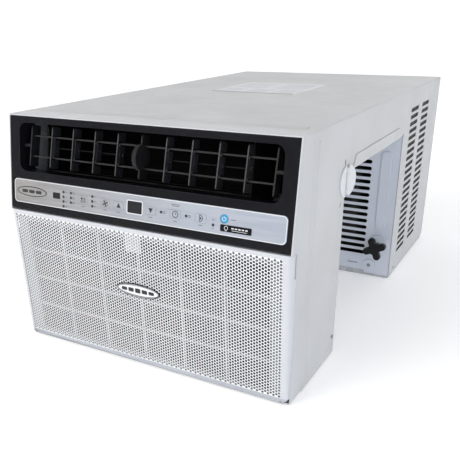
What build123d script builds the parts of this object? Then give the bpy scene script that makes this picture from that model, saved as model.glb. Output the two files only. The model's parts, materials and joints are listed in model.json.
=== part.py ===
from build123d import *
import os
from math import cos, radians, sin

os.makedirs("parts", exist_ok=True)

# ---------------------------------------------------------------------------
# Saddle window air conditioner: an indoor unit and an outdoor unit hang on
# either side of a sill from a bridge. Millimetres, +Z up, the front faces -Y,
# and the origin is at the middle of the footprint, on the floor.
# ---------------------------------------------------------------------------

# Driving dimensions of the whole unit
WIDTH = 480.0
DEPTH = 860.0
HEIGHT = 374.5
INDOOR_DEPTH = 198.0
SILL_GAP = 350.0
SILL_HEIGHT = 294.0
SHEET = 1.5
WALL = 2.5
GAP = 0.4

# Planes that follow from them
HALF = WIDTH / 2
FRONT = -DEPTH / 2
BACK = DEPTH / 2
INDOOR_BACK = FRONT + INDOOR_DEPTH
OUTDOOR_FRONT = INDOOR_BACK + SILL_GAP
INNER = HALF - SHEET - GAP
TOP_UNDERSIDE = HEIGHT - SHEET
FOOT = 6.0
REAR_CORNER = 12.0

# Front face: the grille leans out to an edge, the discharge panel leans back
EDGE_HEIGHT = 228.0
PANEL_LEAN = 7.5
GRILLE_SETBACK = 13.5
SURROUND_DEPTH = 58.0
GRILLE_SHELL_DEPTH = 15.5
BEAD_AT = 76.0
BEAD_RADIUS = 4.4
BEAD_RISE = 1.2
BEAD_END = 16.0

# Discharge opening and the louvre behind it
OPENING_WIDTH = 436.0
OPENING_LOW = 290.5
OPENING_HIGH = 362.7
OPENING_RADIUS = 13.0
LOUVRE_LEAN = 14.0
LOUVRE_BACKSET = 26.0
FIN_PITCH = 40.8
FINS_PER_SIDE = 4
FIN_HEIGHT = 63.0
FIN_FRONT = -3.0
FIN_BACK = 15.0
FIN_THICKNESS = 1.8
BAR_AXIS = 3.0
BAR_SPREAD = 15.5
LINK_RADIUS = 9.0
FIT = 0.05

# Control strip
STRIP_WIDTH = 460.0
STRIP_LOW = 241.0
STRIP_HIGH = 278.0
STRIP_THICKNESS = 1.4
KEY_ROW = 259.0
KEY_GAP = 0.2
KEY_AT = {"mode": -92.5, "fan": -51.8, "up": -27.9, "down": 27.0, "timer": 67.2, "eco": 106.7}
KEY_WIDTH = 17.0
KEY_HEIGHT = 12.0
POWER_AT = (141.9, 263.0)
POWER_RADIUS = 6.2

# Louvred walls of the outdoor unit
SLOT_PITCH = 13.6
SIDE_SLOT_HEIGHT = 8.0
SIDE_SLOT_ROWS = 22
SIDE_SLOT_TOP = 333.0
SIDE_SLOT_LENGTH = 65.5
SIDE_SLOT_COLUMNS = (628.5, 725.0)
FRONT_SLOT_ROWS = 16
FRONT_SLOT_TOP = 251.3
FRONT_SLOT_LENGTH = 108.0
FRONT_SLOT_HEIGHT = 7.6
FRONT_SLOT_COLUMNS = (-132.3, 0.0, 132.3)

# Rotating machinery
BLOWER_AT = (FRONT + 118.0, 232.0)
BLOWER_RADIUS = 46.0
BLOWER_SPAN = (-190.0, 148.0)
FAN_AT = (-25.0, 192.0)
FAN_RADIUS = 140.0
SHAFT_RADIUS = 4.0

# Wall bumpers
BUMPER_AT = (214.0, 71.0)
BUMPER_STANDOFF = 37.0
SPINDLE_RADIUS = 5.0
KNOB_SPAN = 46.5


def block(x, y, z, mode=Mode.ADD):
    """Add a box given by its limits along X, Y and Z."""
    middle = [(low + high) / 2 for low, high in (x, y, z)]
    with Locations(tuple(middle)):
        Box(x[1] - x[0], y[1] - y[0], z[1] - z[0], mode=mode)


def rod_x(radius, x, y, z, mode=Mode.ADD):
    """Add a cylinder along X from x[0] to x[1]."""
    with Locations(Location(((x[0] + x[1]) / 2, y, z), (0, 90, 0))):
        Cylinder(radius, x[1] - x[0], mode=mode)


def rod_y(radius, x, y, z, mode=Mode.ADD):
    """Add a cylinder along Y from y[0] to y[1]."""
    with Locations(Location((x, (y[0] + y[1]) / 2, z), (90, 0, 0))):
        Cylinder(radius, y[1] - y[0], mode=mode)


def rod_z(radius, x, y, z, mode=Mode.ADD):
    """Add a cylinder along Z from z[0] to z[1]."""
    with Locations((x, y, (z[0] + z[1]) / 2)):
        Cylinder(radius, z[1] - z[0], mode=mode)


def profile_x(points, x, mode=Mode.ADD):
    """Extrude a polygon of (y, z) points from x[0] to x[1]."""
    with BuildSketch(Plane.YZ.offset(x[0])) as outline:
        with BuildLine():
            Polyline(*points, close=True)
        make_face()
    extrude(outline.sketch, amount=x[1] - x[0], mode=mode)


def outermost_edges(builder, plane):
    """Edges of the face that stands farthest out along a plane's normal."""
    parallel = builder.faces().filter_by(plane)
    return parallel.sort_by(lambda face: plane.to_local_coords(face.center()).Z)[-1].edges()


def save(part, name):
    """Label a finished piece and write it under its own name."""
    part.label = name
    export_step(part, f"parts/{name}.step")


# ---------------------------------------------------------------------------
# Slanted planes of the front
# ---------------------------------------------------------------------------

lean = radians(PANEL_LEAN)
panel_plane = Plane(origin=(0, FRONT, EDGE_HEIGHT), x_dir=(1, 0, 0), z_dir=(0, -cos(lean), sin(lean)))
TOP_SETBACK = (HEIGHT - EDGE_HEIGHT) * sin(lean) / cos(lean)


def up_panel(z):
    """Distance up the discharge panel from the front edge to height z."""
    return (z - EDGE_HEIGHT) / cos(lean)


STRIP_MIDDLE = up_panel((STRIP_LOW + STRIP_HIGH) / 2)
STRIP_SPAN = up_panel(STRIP_HIGH) - up_panel(STRIP_LOW)
OPENING_MIDDLE = up_panel((OPENING_LOW + OPENING_HIGH) / 2)
OPENING_SPAN = up_panel(OPENING_HIGH) - up_panel(OPENING_LOW)

# ---------------------------------------------------------------------------
# Cabinet sheet metal
# ---------------------------------------------------------------------------

SURROUND_BACK = FRONT + SURROUND_DEPTH


def bead(face, across, length):
    """Half-round stiffening bead raised on a sheet; face looks outwards at the bead's middle."""
    start = face.origin - across * (length / 2)
    with BuildSketch(Plane(origin=start, x_dir=face.z_dir, z_dir=across)) as outline:
        with Locations((BEAD_RISE - BEAD_RADIUS, 0)):
            Circle(BEAD_RADIUS)
        with Locations((-SHEET / 2 - BEAD_RADIUS, 0)):
            Rectangle(2 * BEAD_RADIUS, 4 * BEAD_RADIUS, mode=Mode.SUBTRACT)
    extrude(outline.sketch, amount=length)


with BuildPart() as cabinet_top:
    block((-HALF, HALF), (SURROUND_BACK + GAP, BACK), (TOP_UNDERSIDE, HEIGHT))
    rear_corners = cabinet_top.edges().filter_by(Axis.Z).group_by(Axis.Y)[-1]
    fillet(rear_corners, radius=3)
    upper_rim = cabinet_top.faces().sort_by(Axis.Z)[-1].edges().group_by(Axis.Y)[1:]
    fillet([edge for group in upper_rim for edge in group], radius=1.1)
    bead(Plane(origin=(0, FRONT + BEAD_AT, HEIGHT), z_dir=(0, 0, 1)), Vector(1, 0, 0), WIDTH - 2 * BEAD_END)
save(cabinet_top.part, "cabinet_top")


def side_panel(side):
    """Saddle-shaped side sheet with its louvres, bead and bottom rail."""
    outline = [
        (SURROUND_BACK + GAP, 2.0),
        (INDOOR_BACK, 2.0),
        (INDOOR_BACK, SILL_HEIGHT),
        (OUTDOOR_FRONT, SILL_HEIGHT),
        (OUTDOOR_FRONT, FOOT),
        (BACK, FOOT),
        (BACK, TOP_UNDERSIDE - 0.1),
        (SURROUND_BACK + GAP, TOP_UNDERSIDE - 0.1),
    ]
    rail_y = (INDOOR_BACK + 30.0, OUTDOOR_FRONT - 27.0)
    rail_z = (SILL_HEIGHT, SILL_HEIGHT + 19.0)
    rail_taper = 14.0
    rail_rise = 1.6
    outer = side * HALF
    with BuildPart() as panel:
        profile_x(outline, (outer - SHEET, outer) if side > 0 else (outer, outer + SHEET))
        with BuildSketch(Plane.YZ.offset(outer - SHEET)):
            for column in SIDE_SLOT_COLUMNS:
                bottom = SIDE_SLOT_TOP - (SIDE_SLOT_ROWS - 1) * SLOT_PITCH
                with Locations((FRONT + column, (SIDE_SLOT_TOP + bottom) / 2)):
                    with GridLocations(1, SLOT_PITCH, 1, SIDE_SLOT_ROWS):
                        RectangleRounded(SIDE_SLOT_LENGTH, SIDE_SLOT_HEIGHT, 2.6)
            with Locations((INDOOR_BACK - 6.0, SILL_HEIGHT + 16.5)):
                SlotOverall(9.0, 5.0, rotation=90)
            with Locations((INDOOR_BACK - 17.0, SILL_HEIGHT - 44.5)):
                SlotOverall(8.0, 3.6, rotation=90)
            with Locations((OUTDOOR_FRONT + 1.0, SILL_HEIGHT - 0.5)):
                Circle(2.6)
            with Locations((OUTDOOR_FRONT + 36.0, FOOT + 7.0)):
                SlotOverall(12.0, 3.4)
        extrude(amount=2 * SHEET, mode=Mode.SUBTRACT)
        lower_rear = panel.edges().filter_by(Axis.X).group_by(Axis.Y)[-1].sort_by(Axis.Z)[0]
        fillet(lower_rear, radius=REAR_CORNER)
        rail = [
            (rail_y[0], rail_z[0]),
            (rail_y[1], rail_z[0]),
            (rail_y[1] - rail_taper, rail_z[1]),
            (rail_y[0] + rail_taper, rail_z[1]),
        ]
        profile_x(rail, (outer, outer + rail_rise) if side > 0 else (outer - rail_rise, outer))
        bead_middle = Plane(origin=(outer, FRONT + BEAD_AT, HEIGHT / 2), z_dir=(side, 0, 0))
        bead(bead_middle, Vector(0, 0, 1), HEIGHT - 2 * BEAD_END)
    return panel.part


save(side_panel(-1), "side_panel_left")
save(side_panel(1), "side_panel_right")

with BuildPart() as indoor_rear_panel:
    block((-INNER, INNER), (INDOOR_BACK - SHEET, INDOOR_BACK), (4.0, SILL_HEIGHT - GAP))
    rod_y(7.5, -190.0, (INDOOR_BACK - 2 * SHEET, INDOOR_BACK + SHEET), 42.0, Mode.SUBTRACT)
save(indoor_rear_panel.part, "indoor_rear_panel")

with BuildPart() as bridge_floor:
    block((-INNER, INNER), (INDOOR_BACK, OUTDOOR_FRONT), (SILL_HEIGHT, SILL_HEIGHT + SHEET))
save(bridge_floor.part, "bridge_floor")

# The panel that faces the wall: slots, stiffening ribs and bumper bosses
RIB_RISE = 2.0
BOSS_RADIUS = 19.5
BOSS_RISE = 4.0
FRONT_SLOT_PITCH = 13.45
LEG_INSIDE = 189.0
PANEL_FOOT = 11.5
PANEL_SCREW = (198.0, 23.7)
SCREW_PAD = 12.5
with BuildPart() as outdoor_front_panel:
    block((-INNER, INNER), (OUTDOOR_FRONT, OUTDOOR_FRONT + SHEET), (FOOT, SILL_HEIGHT - GAP))
    slot_bottom = FRONT_SLOT_TOP - (FRONT_SLOT_ROWS - 1) * FRONT_SLOT_PITCH
    with BuildSketch(Plane.XZ.offset(-OUTDOOR_FRONT - 2 * SHEET)):
        for column in FRONT_SLOT_COLUMNS:
            with Locations((column, (FRONT_SLOT_TOP + slot_bottom) / 2)):
                with GridLocations(1, FRONT_SLOT_PITCH, 1, FRONT_SLOT_ROWS):
                    SlotOverall(FRONT_SLOT_LENGTH, FRONT_SLOT_HEIGHT)
        with Locations((163.8, 25.0), (-163.8, 25.0)):
            SlotOverall(20.0, 2.4)
        with Locations((0, 0)):
            Rectangle(2 * LEG_INSIDE, 2 * PANEL_FOOT)
    extrude(amount=3 * SHEET, mode=Mode.SUBTRACT)
    with BuildSketch(Plane.XZ.offset(-OUTDOOR_FRONT)):
        for side in (-1, 1):
            with Locations((side * 213.5, 183.0)):
                RectangleRounded(19.0, 154.0, 7.0)
            with Locations((side * PANEL_SCREW[0], PANEL_SCREW[1])):
                Circle(SCREW_PAD)
    extrude(amount=RIB_RISE)
    for side in (-1, 1):
        rod_y(BOSS_RADIUS, side * BUMPER_AT[0], (OUTDOOR_FRONT - BOSS_RISE, OUTDOOR_FRONT), BUMPER_AT[1])
        rod_y(
            SPINDLE_RADIUS + FIT,
            side * BUMPER_AT[0],
            (OUTDOOR_FRONT - 2 * BOSS_RISE, OUTDOOR_FRONT + 2 * SHEET),
            BUMPER_AT[1],
            Mode.SUBTRACT,
        )
save(outdoor_front_panel.part, "outdoor_front_panel")

# Base pan of the outdoor unit: a folded tray that stands on the floor
PAN_DEPTH = 28.0
with BuildPart() as base_pan:
    block((-INNER, INNER), (OUTDOOR_FRONT + SHEET + GAP, BACK - SHEET - GAP), (0, PAN_DEPTH))
    fillet(base_pan.edges().filter_by(Axis.Z), radius=6)
    inside_y = (OUTDOOR_FRONT + 2 * SHEET + GAP, BACK - 2 * SHEET - GAP)
    block((-INNER + SHEET, INNER - SHEET), inside_y, (SHEET, 2 * PAN_DEPTH), Mode.SUBTRACT)
    rod_y(7.0, -150.0, (BACK - 4 * SHEET, BACK), 14.0, Mode.SUBTRACT)
save(base_pan.part, "base_pan")

# Rear guard: horizontal slots in three columns over the condenser
GUARD_ROWS = 23
with BuildPart() as rear_guard:
    block((-INNER, INNER), (BACK - SHEET, BACK), (FOOT, TOP_UNDERSIDE - GAP))
    with BuildSketch(Plane.XZ.offset(-BACK - SHEET)):
        with Locations((0, 190.0)):
            with GridLocations(144.0, 13.0, 3, GUARD_ROWS):
                SlotOverall(130.0, 8.0)
    extrude(amount=3 * SHEET, mode=Mode.SUBTRACT)
save(rear_guard.part, "rear_guard")

# ---------------------------------------------------------------------------
# Front of the indoor unit
# ---------------------------------------------------------------------------

LIP = 2.0
LOWER_CORNER = 5.0
HINGE_RELIEF = (FRONT + GRILLE_SHELL_DEPTH + 3.0, 12.0)
surround_outline = [
    (SURROUND_BACK, 0),
    (HINGE_RELIEF[0], 0),
    HINGE_RELIEF,
    (FRONT + GRILLE_SHELL_DEPTH + GAP, HINGE_RELIEF[1]),
    (FRONT + GRILLE_SHELL_DEPTH + GAP, EDGE_HEIGHT + GAP),
    (FRONT + 0.2, EDGE_HEIGHT + GAP),
    (FRONT + TOP_SETBACK, HEIGHT),
    (SURROUND_BACK, HEIGHT),
]
surround_hollow = [
    (SURROUND_BACK + WALL, WALL),
    (FRONT, WALL),
    (FRONT, EDGE_HEIGHT + GAP + LIP),
    (FRONT - WALL, EDGE_HEIGHT + GAP + LIP),
    (FRONT - WALL, HEIGHT - LIP),
    (SURROUND_BACK + WALL, HEIGHT - LIP),
]
with BuildPart() as front_surround:
    profile_x(surround_outline, (-HALF, HALF))
    front_corners = front_surround.edges().filter_by(lambda e: abs(e.center().X) > HALF - 1)
    front_corners = front_corners.filter_by(lambda e: e.center().Y < FRONT + TOP_SETBACK)
    fillet(front_corners.filter_by(lambda e: e.length > 100), radius=2)
    fillet(front_surround.edges().filter_by(Axis.Y).group_by(Axis.Z)[-1], radius=1.2)
    fillet(front_surround.edges().filter_by(Axis.Y).group_by(Axis.Z)[0], radius=LOWER_CORNER)
    profile_x(surround_hollow, (-HALF + WALL, HALF - WALL), Mode.SUBTRACT)
save(front_surround.part, "front_surround")

# Glossy discharge panel with its opening, mouth sleeve and strip window
PANEL_THICKNESS = 3.0
PANEL_WIDTH = WIDTH - 2 * WALL - 2 * GAP
PANEL_LOW = up_panel(EDGE_HEIGHT + GAP + LIP + GAP)
PANEL_HIGH = up_panel(HEIGHT - LIP - GAP) - 0.4
PIVOT_Y = FRONT + LOUVRE_BACKSET
PIVOT_Z = (OPENING_LOW + OPENING_HIGH) / 2
PIVOT_RADIUS = 3.0
MOUTH_WALL = 2.0
MOUTH_REACH = 26.0
with BuildPart() as discharge_bezel:
    with BuildSketch(panel_plane):
        with Locations((0, (PANEL_LOW + PANEL_HIGH) / 2)):
            RectangleRounded(PANEL_WIDTH, PANEL_HIGH - PANEL_LOW, 3.0)
        with Locations((0, OPENING_MIDDLE)):
            RectangleRounded(OPENING_WIDTH, OPENING_SPAN, OPENING_RADIUS, mode=Mode.SUBTRACT)
    extrude(amount=-PANEL_THICKNESS)
    fillet(outermost_edges(discharge_bezel, panel_plane), radius=0.5)
    with BuildSketch(panel_plane.offset(-PANEL_THICKNESS)):
        with Locations((0, OPENING_MIDDLE)):
            RectangleRounded(OPENING_WIDTH + 2 * MOUTH_WALL, OPENING_SPAN + 2 * MOUTH_WALL, OPENING_RADIUS)
            RectangleRounded(OPENING_WIDTH, OPENING_SPAN, OPENING_RADIUS, mode=Mode.SUBTRACT)
    extrude(amount=-MOUTH_REACH)
    with BuildSketch(panel_plane.offset(STRIP_THICKNESS)):
        with Locations((0, STRIP_MIDDLE)):
            RectangleRounded(STRIP_WIDTH - 12, STRIP_SPAN - 8, 4.0)
    extrude(amount=-3 * PANEL_THICKNESS, mode=Mode.SUBTRACT)
    with BuildSketch(panel_plane):
        with Locations((0, STRIP_MIDDLE)):
            RectangleRounded(STRIP_WIDTH + 2 * GAP, STRIP_SPAN + 2 * GAP, 6.5)
    extrude(amount=-1.0, mode=Mode.SUBTRACT)
    rod_x(PIVOT_RADIUS + FIT, (-HALF + 6, HALF - 6), PIVOT_Y, PIVOT_Z, Mode.SUBTRACT)
save(discharge_bezel.part, "discharge_bezel")

# Silver control strip with its windows, lamps and key holes
SMALL_WINDOW = (-144.0, up_panel(259.5), 14.0, 9.0)
LARGE_WINDOW = (0.0, up_panel(259.8), 24.5, 17.0)
LAMP_COLUMNS = {
    -130.2: (266.5, 259.4, 252.3, 245.2),
    -115.9: (266.5, 259.4, 252.3),
    -75.5: (266.2, 259.1, 252.0),
    44.3: (259.0,),
    84.4: (259.0,),
    126.0: (252.7,),
}
LAMPS = [(x, up_panel(z)) for x, rows in LAMP_COLUMNS.items() for z in rows]
LAMP_RADIUS = 1.5
LAMP_FIT = 0.1
BRAND_OVAL = (-193.5, up_panel(260.0), 61.0, 16.0)
BRAND_TAG = (159.5, up_panel(251.0), 45.0, 9.2)
KEYS = {name: (x, up_panel(KEY_ROW)) for name, x in KEY_AT.items()}
POWER = (POWER_AT[0], up_panel(POWER_AT[1]))
strip_back = panel_plane.offset(-1.0)
strip_face = panel_plane.offset(STRIP_THICKNESS - 1.0)

with BuildPart() as control_fascia:
    with BuildSketch(strip_back):
        with Locations((0, STRIP_MIDDLE)):
            RectangleRounded(STRIP_WIDTH, STRIP_SPAN, 6.5)
    extrude(amount=STRIP_THICKNESS)
    fillet(outermost_edges(control_fascia, strip_face), radius=0.6)
    with BuildSketch(strip_face.offset(1)):
        for x, up, width, height in (SMALL_WINDOW, LARGE_WINDOW):
            with Locations((x, up)):
                RectangleRounded(width + 0.2, height + 0.2, 1.6)
        with Locations(*LAMPS):
            Circle(LAMP_RADIUS + LAMP_FIT)
        with Locations(*KEYS.values()):
            RectangleRounded(KEY_WIDTH + 2 * KEY_GAP, KEY_HEIGHT + 2 * KEY_GAP, 2.4)
        with Locations(POWER):
            Circle(POWER_RADIUS + KEY_GAP)
    extrude(amount=-2 * STRIP_THICKNESS, mode=Mode.SUBTRACT)
save(control_fascia.part, "control_fascia")

with BuildPart() as display_windows:
    with BuildSketch(strip_back):
        for x, up, width, height in (SMALL_WINDOW, LARGE_WINDOW):
            with Locations((x, up)):
                RectangleRounded(width, height, 1.5)
    extrude(amount=STRIP_THICKNESS + 0.1)
save(display_windows.part, "display_windows")

with BuildPart() as indicator_lamps:
    with BuildSketch(strip_back):
        with Locations(*LAMPS):
            Circle(LAMP_RADIUS)
    extrude(amount=STRIP_THICKNESS + 0.2)
save(indicator_lamps.part, "indicator_lamps")

with BuildPart() as fascia_badges:
    with BuildSketch(strip_face):
        with Locations(BRAND_OVAL[:2]):
            Ellipse(BRAND_OVAL[2] / 2, BRAND_OVAL[3] / 2)
        with Locations(BRAND_TAG[:2]):
            RectangleRounded(BRAND_TAG[2], BRAND_TAG[3], 1.5)
    extrude(amount=0.6)
save(fascia_badges.part, "fascia_badges")

# Keys: a cap in the strip, a hidden retaining flange and a plunger
KEY_PROUD = 0.1
KEY_EDGE = 0.15
BOARD_DEPTH = 9.0


def key(at, outline):
    """One push key; outline draws its cap with a given margin added."""
    with BuildPart() as cap:
        with BuildSketch(strip_face.offset(KEY_PROUD)):
            with Locations(at):
                outline(0.0)
        extrude(amount=-(KEY_PROUD + STRIP_THICKNESS + 0.3))
        fillet(outermost_edges(cap, strip_face), radius=KEY_EDGE)
        with BuildSketch(strip_back.offset(-0.3)):
            with Locations(at):
                outline(1.0)
        extrude(amount=-0.8)
        with BuildSketch(strip_back.offset(-0.6)):
            with Locations(at):
                Circle(1.6)
        extrude(amount=-3.4)
    return cap.part


def flat_key(margin):
    return RectangleRounded(KEY_WIDTH + 2 * margin, KEY_HEIGHT + 2 * margin, 2.2)


def round_key(margin):
    return Circle(POWER_RADIUS + margin)


for name, at in KEYS.items():
    save(key(at, flat_key), f"key_{name}")
save(key(POWER, round_key), "key_power")

with BuildPart() as control_board:
    with BuildSketch(strip_back.offset(-BOARD_DEPTH)):
        with Locations((0, STRIP_MIDDLE)):
            Rectangle(420.0, 27.0)
    extrude(amount=-1.6)
    with BuildSketch(strip_back.offset(-BOARD_DEPTH)):
        with Locations(*KEYS.values(), POWER):
            Rectangle(6.0, 6.0)
    extrude(amount=BOARD_DEPTH - 5.0)
save(control_board.part, "control_board")

# ---------------------------------------------------------------------------
# Intake grille: a shallow shell hinged at its bottom edge, with its filter
# ---------------------------------------------------------------------------

GRILLE_LOW = 5.0
GRILLE_RADIUS = 8.0
HINGE_AT = (14.3, 7.5)
HINGE_PIN = 1.8


def grille_face(z, inset=0.0):
    """Y of the grille's face at height z, inset towards the back."""
    return FRONT + GRILLE_SETBACK * (EDGE_HEIGHT - z) / EDGE_HEIGHT + inset


grille_shell_back = FRONT + GRILLE_SHELL_DEPTH
with BuildPart() as intake_grille:
    profile_x(
        [
            (grille_face(GRILLE_LOW), GRILLE_LOW),
            (grille_shell_back, GRILLE_LOW),
            (grille_shell_back, EDGE_HEIGHT),
            (grille_face(EDGE_HEIGHT), EDGE_HEIGHT),
        ],
        (-HALF, HALF),
    )
    long_edges = intake_grille.edges().filter_by(lambda e: abs(e.center().X) > HALF - 1 and e.length > 100)
    fillet(long_edges.sort_by(Axis.Y)[:2], radius=GRILLE_RADIUS)
    profile_x(
        [
            (grille_face(GRILLE_LOW + WALL, WALL), GRILLE_LOW + WALL),
            (grille_shell_back + WALL, GRILLE_LOW + WALL),
            (grille_shell_back + WALL, EDGE_HEIGHT - WALL),
            (grille_face(EDGE_HEIGHT - WALL, WALL), EDGE_HEIGHT - WALL),
        ],
        (-HALF + GRILLE_RADIUS, HALF - GRILLE_RADIUS),
        Mode.SUBTRACT,
    )
    pull_depth = 5.0
    for side in (-1, 1):
        rod_x(HINGE_PIN, sorted((side * 190.0, side * 215.0)), FRONT + HINGE_AT[0], HINGE_AT[1])
        pull_x = (HALF - 3.0, HALF + 1.0) if side > 0 else (-HALF - 1.0, -HALF + 3.0)
        pull_y = (grille_shell_back - pull_depth, grille_shell_back + 1)
        block(pull_x, pull_y, (EDGE_HEIGHT - 34.0, EDGE_HEIGHT - 1.0), Mode.SUBTRACT)
save(intake_grille.part, "intake_grille")

grille_tilt = GRILLE_SETBACK / EDGE_HEIGHT
grille_norm = (1 + grille_tilt**2) ** 0.5
grille_normal = (0, -1 / grille_norm, -grille_tilt / grille_norm)
grille_plane = Plane(origin=(0, FRONT, EDGE_HEIGHT), x_dir=(1, 0, 0), z_dir=grille_normal)
BADGE_DROP = (131.0 - EDGE_HEIGHT) * grille_norm
with BuildPart() as front_badge:
    with BuildSketch(grille_plane):
        with Locations((-2.4, BADGE_DROP)):
            Ellipse(39.0, 11.0)
    extrude(amount=1.6)
    fillet(outermost_edges(front_badge, grille_plane), radius=1.0)
save(front_badge.part, "front_badge")

# The washable filter: a ribbed frame around a fine mesh, clipped in the grille
FILTER_SIZE = (424.0, 198.0)
FILTER_THICKNESS = 3.0
FILTER_COLUMNS = 6
FILTER_ROWS = 4
filter_plane = grille_plane.offset(-WALL - 0.5)
filter_middle = -114.0
with BuildPart() as filter_frame:
    cell_x = FILTER_SIZE[0] / FILTER_COLUMNS
    cell_y = FILTER_SIZE[1] / FILTER_ROWS
    with BuildSketch(filter_plane):
        with Locations((0, filter_middle)):
            RectangleRounded(*FILTER_SIZE, 4.0)
            with GridLocations(cell_x, cell_y, FILTER_COLUMNS, FILTER_ROWS):
                Rectangle(cell_x - 4.0, cell_y - 4.0, mode=Mode.SUBTRACT)
    extrude(amount=-FILTER_THICKNESS)
save(filter_frame.part, "filter_frame")

with BuildPart() as filter_mesh:
    with BuildSketch(filter_plane.offset(-FILTER_THICKNESS)):
        with Locations((0, filter_middle)):
            Rectangle(FILTER_SIZE[0] - 6, FILTER_SIZE[1] - 6)
    extrude(amount=-0.6)
save(filter_mesh.part, "filter_mesh")

# ---------------------------------------------------------------------------
# Louvre: a tilting frame that carries eight swinging fins. Its own plane has
# X along the pivot, Y to the rear and Z up the fins.
# ---------------------------------------------------------------------------

tilt = radians(LOUVRE_LEAN)
louvre_plane = Plane(origin=(0, PIVOT_Y, PIVOT_Z), x_dir=(1, 0, 0), z_dir=(0, sin(tilt), cos(tilt)))
END_X = (FINS_PER_SIDE + 1) * FIN_PITCH
BAR_HALF = 1.5
BAR_THICKNESS = 2.4
BOSS = 3.2
PIN_RADIUS = 1.3
NOTCH_HALF = 3.0


def louvre_slab(shape, low, high, mode=Mode.ADD):
    """Extrude what shape draws in louvre X and Y between two fin heights."""
    with BuildSketch(louvre_plane.offset(low)) as outline:
        shape()
    extrude(outline.sketch, amount=high - low, mode=mode)


def louvre_upright(x, thickness, radius):
    """A plate across the louvre's depth at x, with rounded rear corners."""
    corner = (x - thickness / 2, PIVOT_Y, PIVOT_Z)
    plane = Plane(origin=corner, x_dir=louvre_plane.y_dir, z_dir=(1, 0, 0))
    with BuildSketch(plane) as outline:
        with Locations(((FIN_FRONT + FIN_BACK) / 2, 0)):
            RectangleRounded(FIN_BACK - FIN_FRONT, FIN_HEIGHT, radius)
    extrude(outline.sketch, amount=thickness)


fin_stations = [FIN_PITCH * step for step in range(1, FINS_PER_SIDE + 1)]
all_stations = [-x for x in fin_stations] + fin_stations
boss_spots = [(x, BAR_AXIS) for x in all_stations]


def rail_outline():
    """One rail of the louvre frame, with a boss at each fin."""
    with Locations((0, BAR_AXIS)):
        Rectangle(2 * END_X, 2 * BAR_HALF)
    with Locations(*boss_spots):
        Circle(BOSS)


def rail_bores():
    """The fins' pivot holes in a rail."""
    with Locations(*boss_spots):
        Circle(PIN_RADIUS + FIT)


UPRIGHT = 2.2
CORNER = 3.0
STUB_END = HALF - 17.0
WHEEL_RADIUS = 18.0
WHEEL_HALF = 3.2
WHEEL_FORWARD = 1.5
with BuildPart() as louvre_frame:
    for x in (-END_X, 0.0, END_X):
        louvre_upright(x, UPRIGHT, CORNER)
    for height in (-BAR_SPREAD, BAR_SPREAD):
        low, high = height - BAR_THICKNESS / 2, height + BAR_THICKNESS / 2
        louvre_slab(rail_outline, low, high)
        louvre_slab(rail_bores, low, high, Mode.SUBTRACT)
    rod_x(PIVOT_RADIUS, (-STUB_END, -END_X), PIVOT_Y, PIVOT_Z)
    rod_x(PIVOT_RADIUS, (END_X, STUB_END), PIVOT_Y, PIVOT_Z)
    rod_x(WHEEL_RADIUS, (-WHEEL_HALF, WHEEL_HALF), PIVOT_Y - WHEEL_FORWARD, PIVOT_Z)
save(louvre_frame.part, "louvre_frame")


def fin(x):
    """One fin: a notched plate on a pivot pin, with a link pin at its rear."""

    def notch():
        with Locations((x, (BAR_AXIS - BAR_HALF - 2.4 + FIN_BACK + 2) / 2)):
            Rectangle(2 * BOSS, FIN_BACK + 2 - BAR_AXIS + BAR_HALF + 2.4)

    def link_notch():
        with Locations((x, BAR_AXIS + LINK_RADIUS + 0.5)):
            Rectangle(2 * BOSS, 9.4)

    def pivot():
        with Locations((x, BAR_AXIS)):
            Circle(PIN_RADIUS)

    def link_pin():
        with Locations((x, BAR_AXIS + LINK_RADIUS)):
            Circle(0.9)

    with BuildPart() as plate:
        louvre_upright(x, FIN_THICKNESS, 3.0)
        for height in (-BAR_SPREAD, BAR_SPREAD):
            louvre_slab(notch, height - NOTCH_HALF, height + NOTCH_HALF, Mode.SUBTRACT)
        louvre_slab(link_notch, -2.4, 2.4, Mode.SUBTRACT)
        louvre_slab(pivot, -BAR_SPREAD - BAR_THICKNESS / 2, BAR_SPREAD + BAR_THICKNESS / 2)
        louvre_slab(link_pin, -3.0, 3.0)
    return plate.part


def link_bar(stations):
    """Tie bar with a cross slot for each fin's link pin."""
    middle = sum(stations) / len(stations)
    length = FIN_PITCH * (len(stations) - 1) + 9.0

    def strip():
        with Locations((middle, BAR_AXIS + LINK_RADIUS)):
            Rectangle(length, 6.4)
        with Locations(*[(x, BAR_AXIS + LINK_RADIUS - 0.6) for x in stations]):
            SlotOverall(4.2, 2.4, rotation=90, mode=Mode.SUBTRACT)

    with BuildPart() as bar:
        louvre_slab(strip, -0.8, 0.8)
    return bar.part


for number, x in enumerate(fin_stations, start=1):
    save(fin(-x), f"fin_left_{number}")
    save(fin(x), f"fin_right_{number}")
save(link_bar([-x for x in fin_stations]), "link_bar_left")
save(link_bar(fin_stations), "link_bar_right")


# ---------------------------------------------------------------------------
# Inside the indoor unit
# ---------------------------------------------------------------------------

CASING = 2.0
blower_y, blower_z = BLOWER_AT
scroll_low = BLOWER_SPAN[0] - 8.0
scroll_high = BLOWER_SPAN[1] + 8.0
DUCT_ROOF = 366.5
scroll_turn = 76.0
mouth_low = (FRONT + 50.0, 284.0)
mouth_high = (FRONT + 61.0, 345.0)

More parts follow.
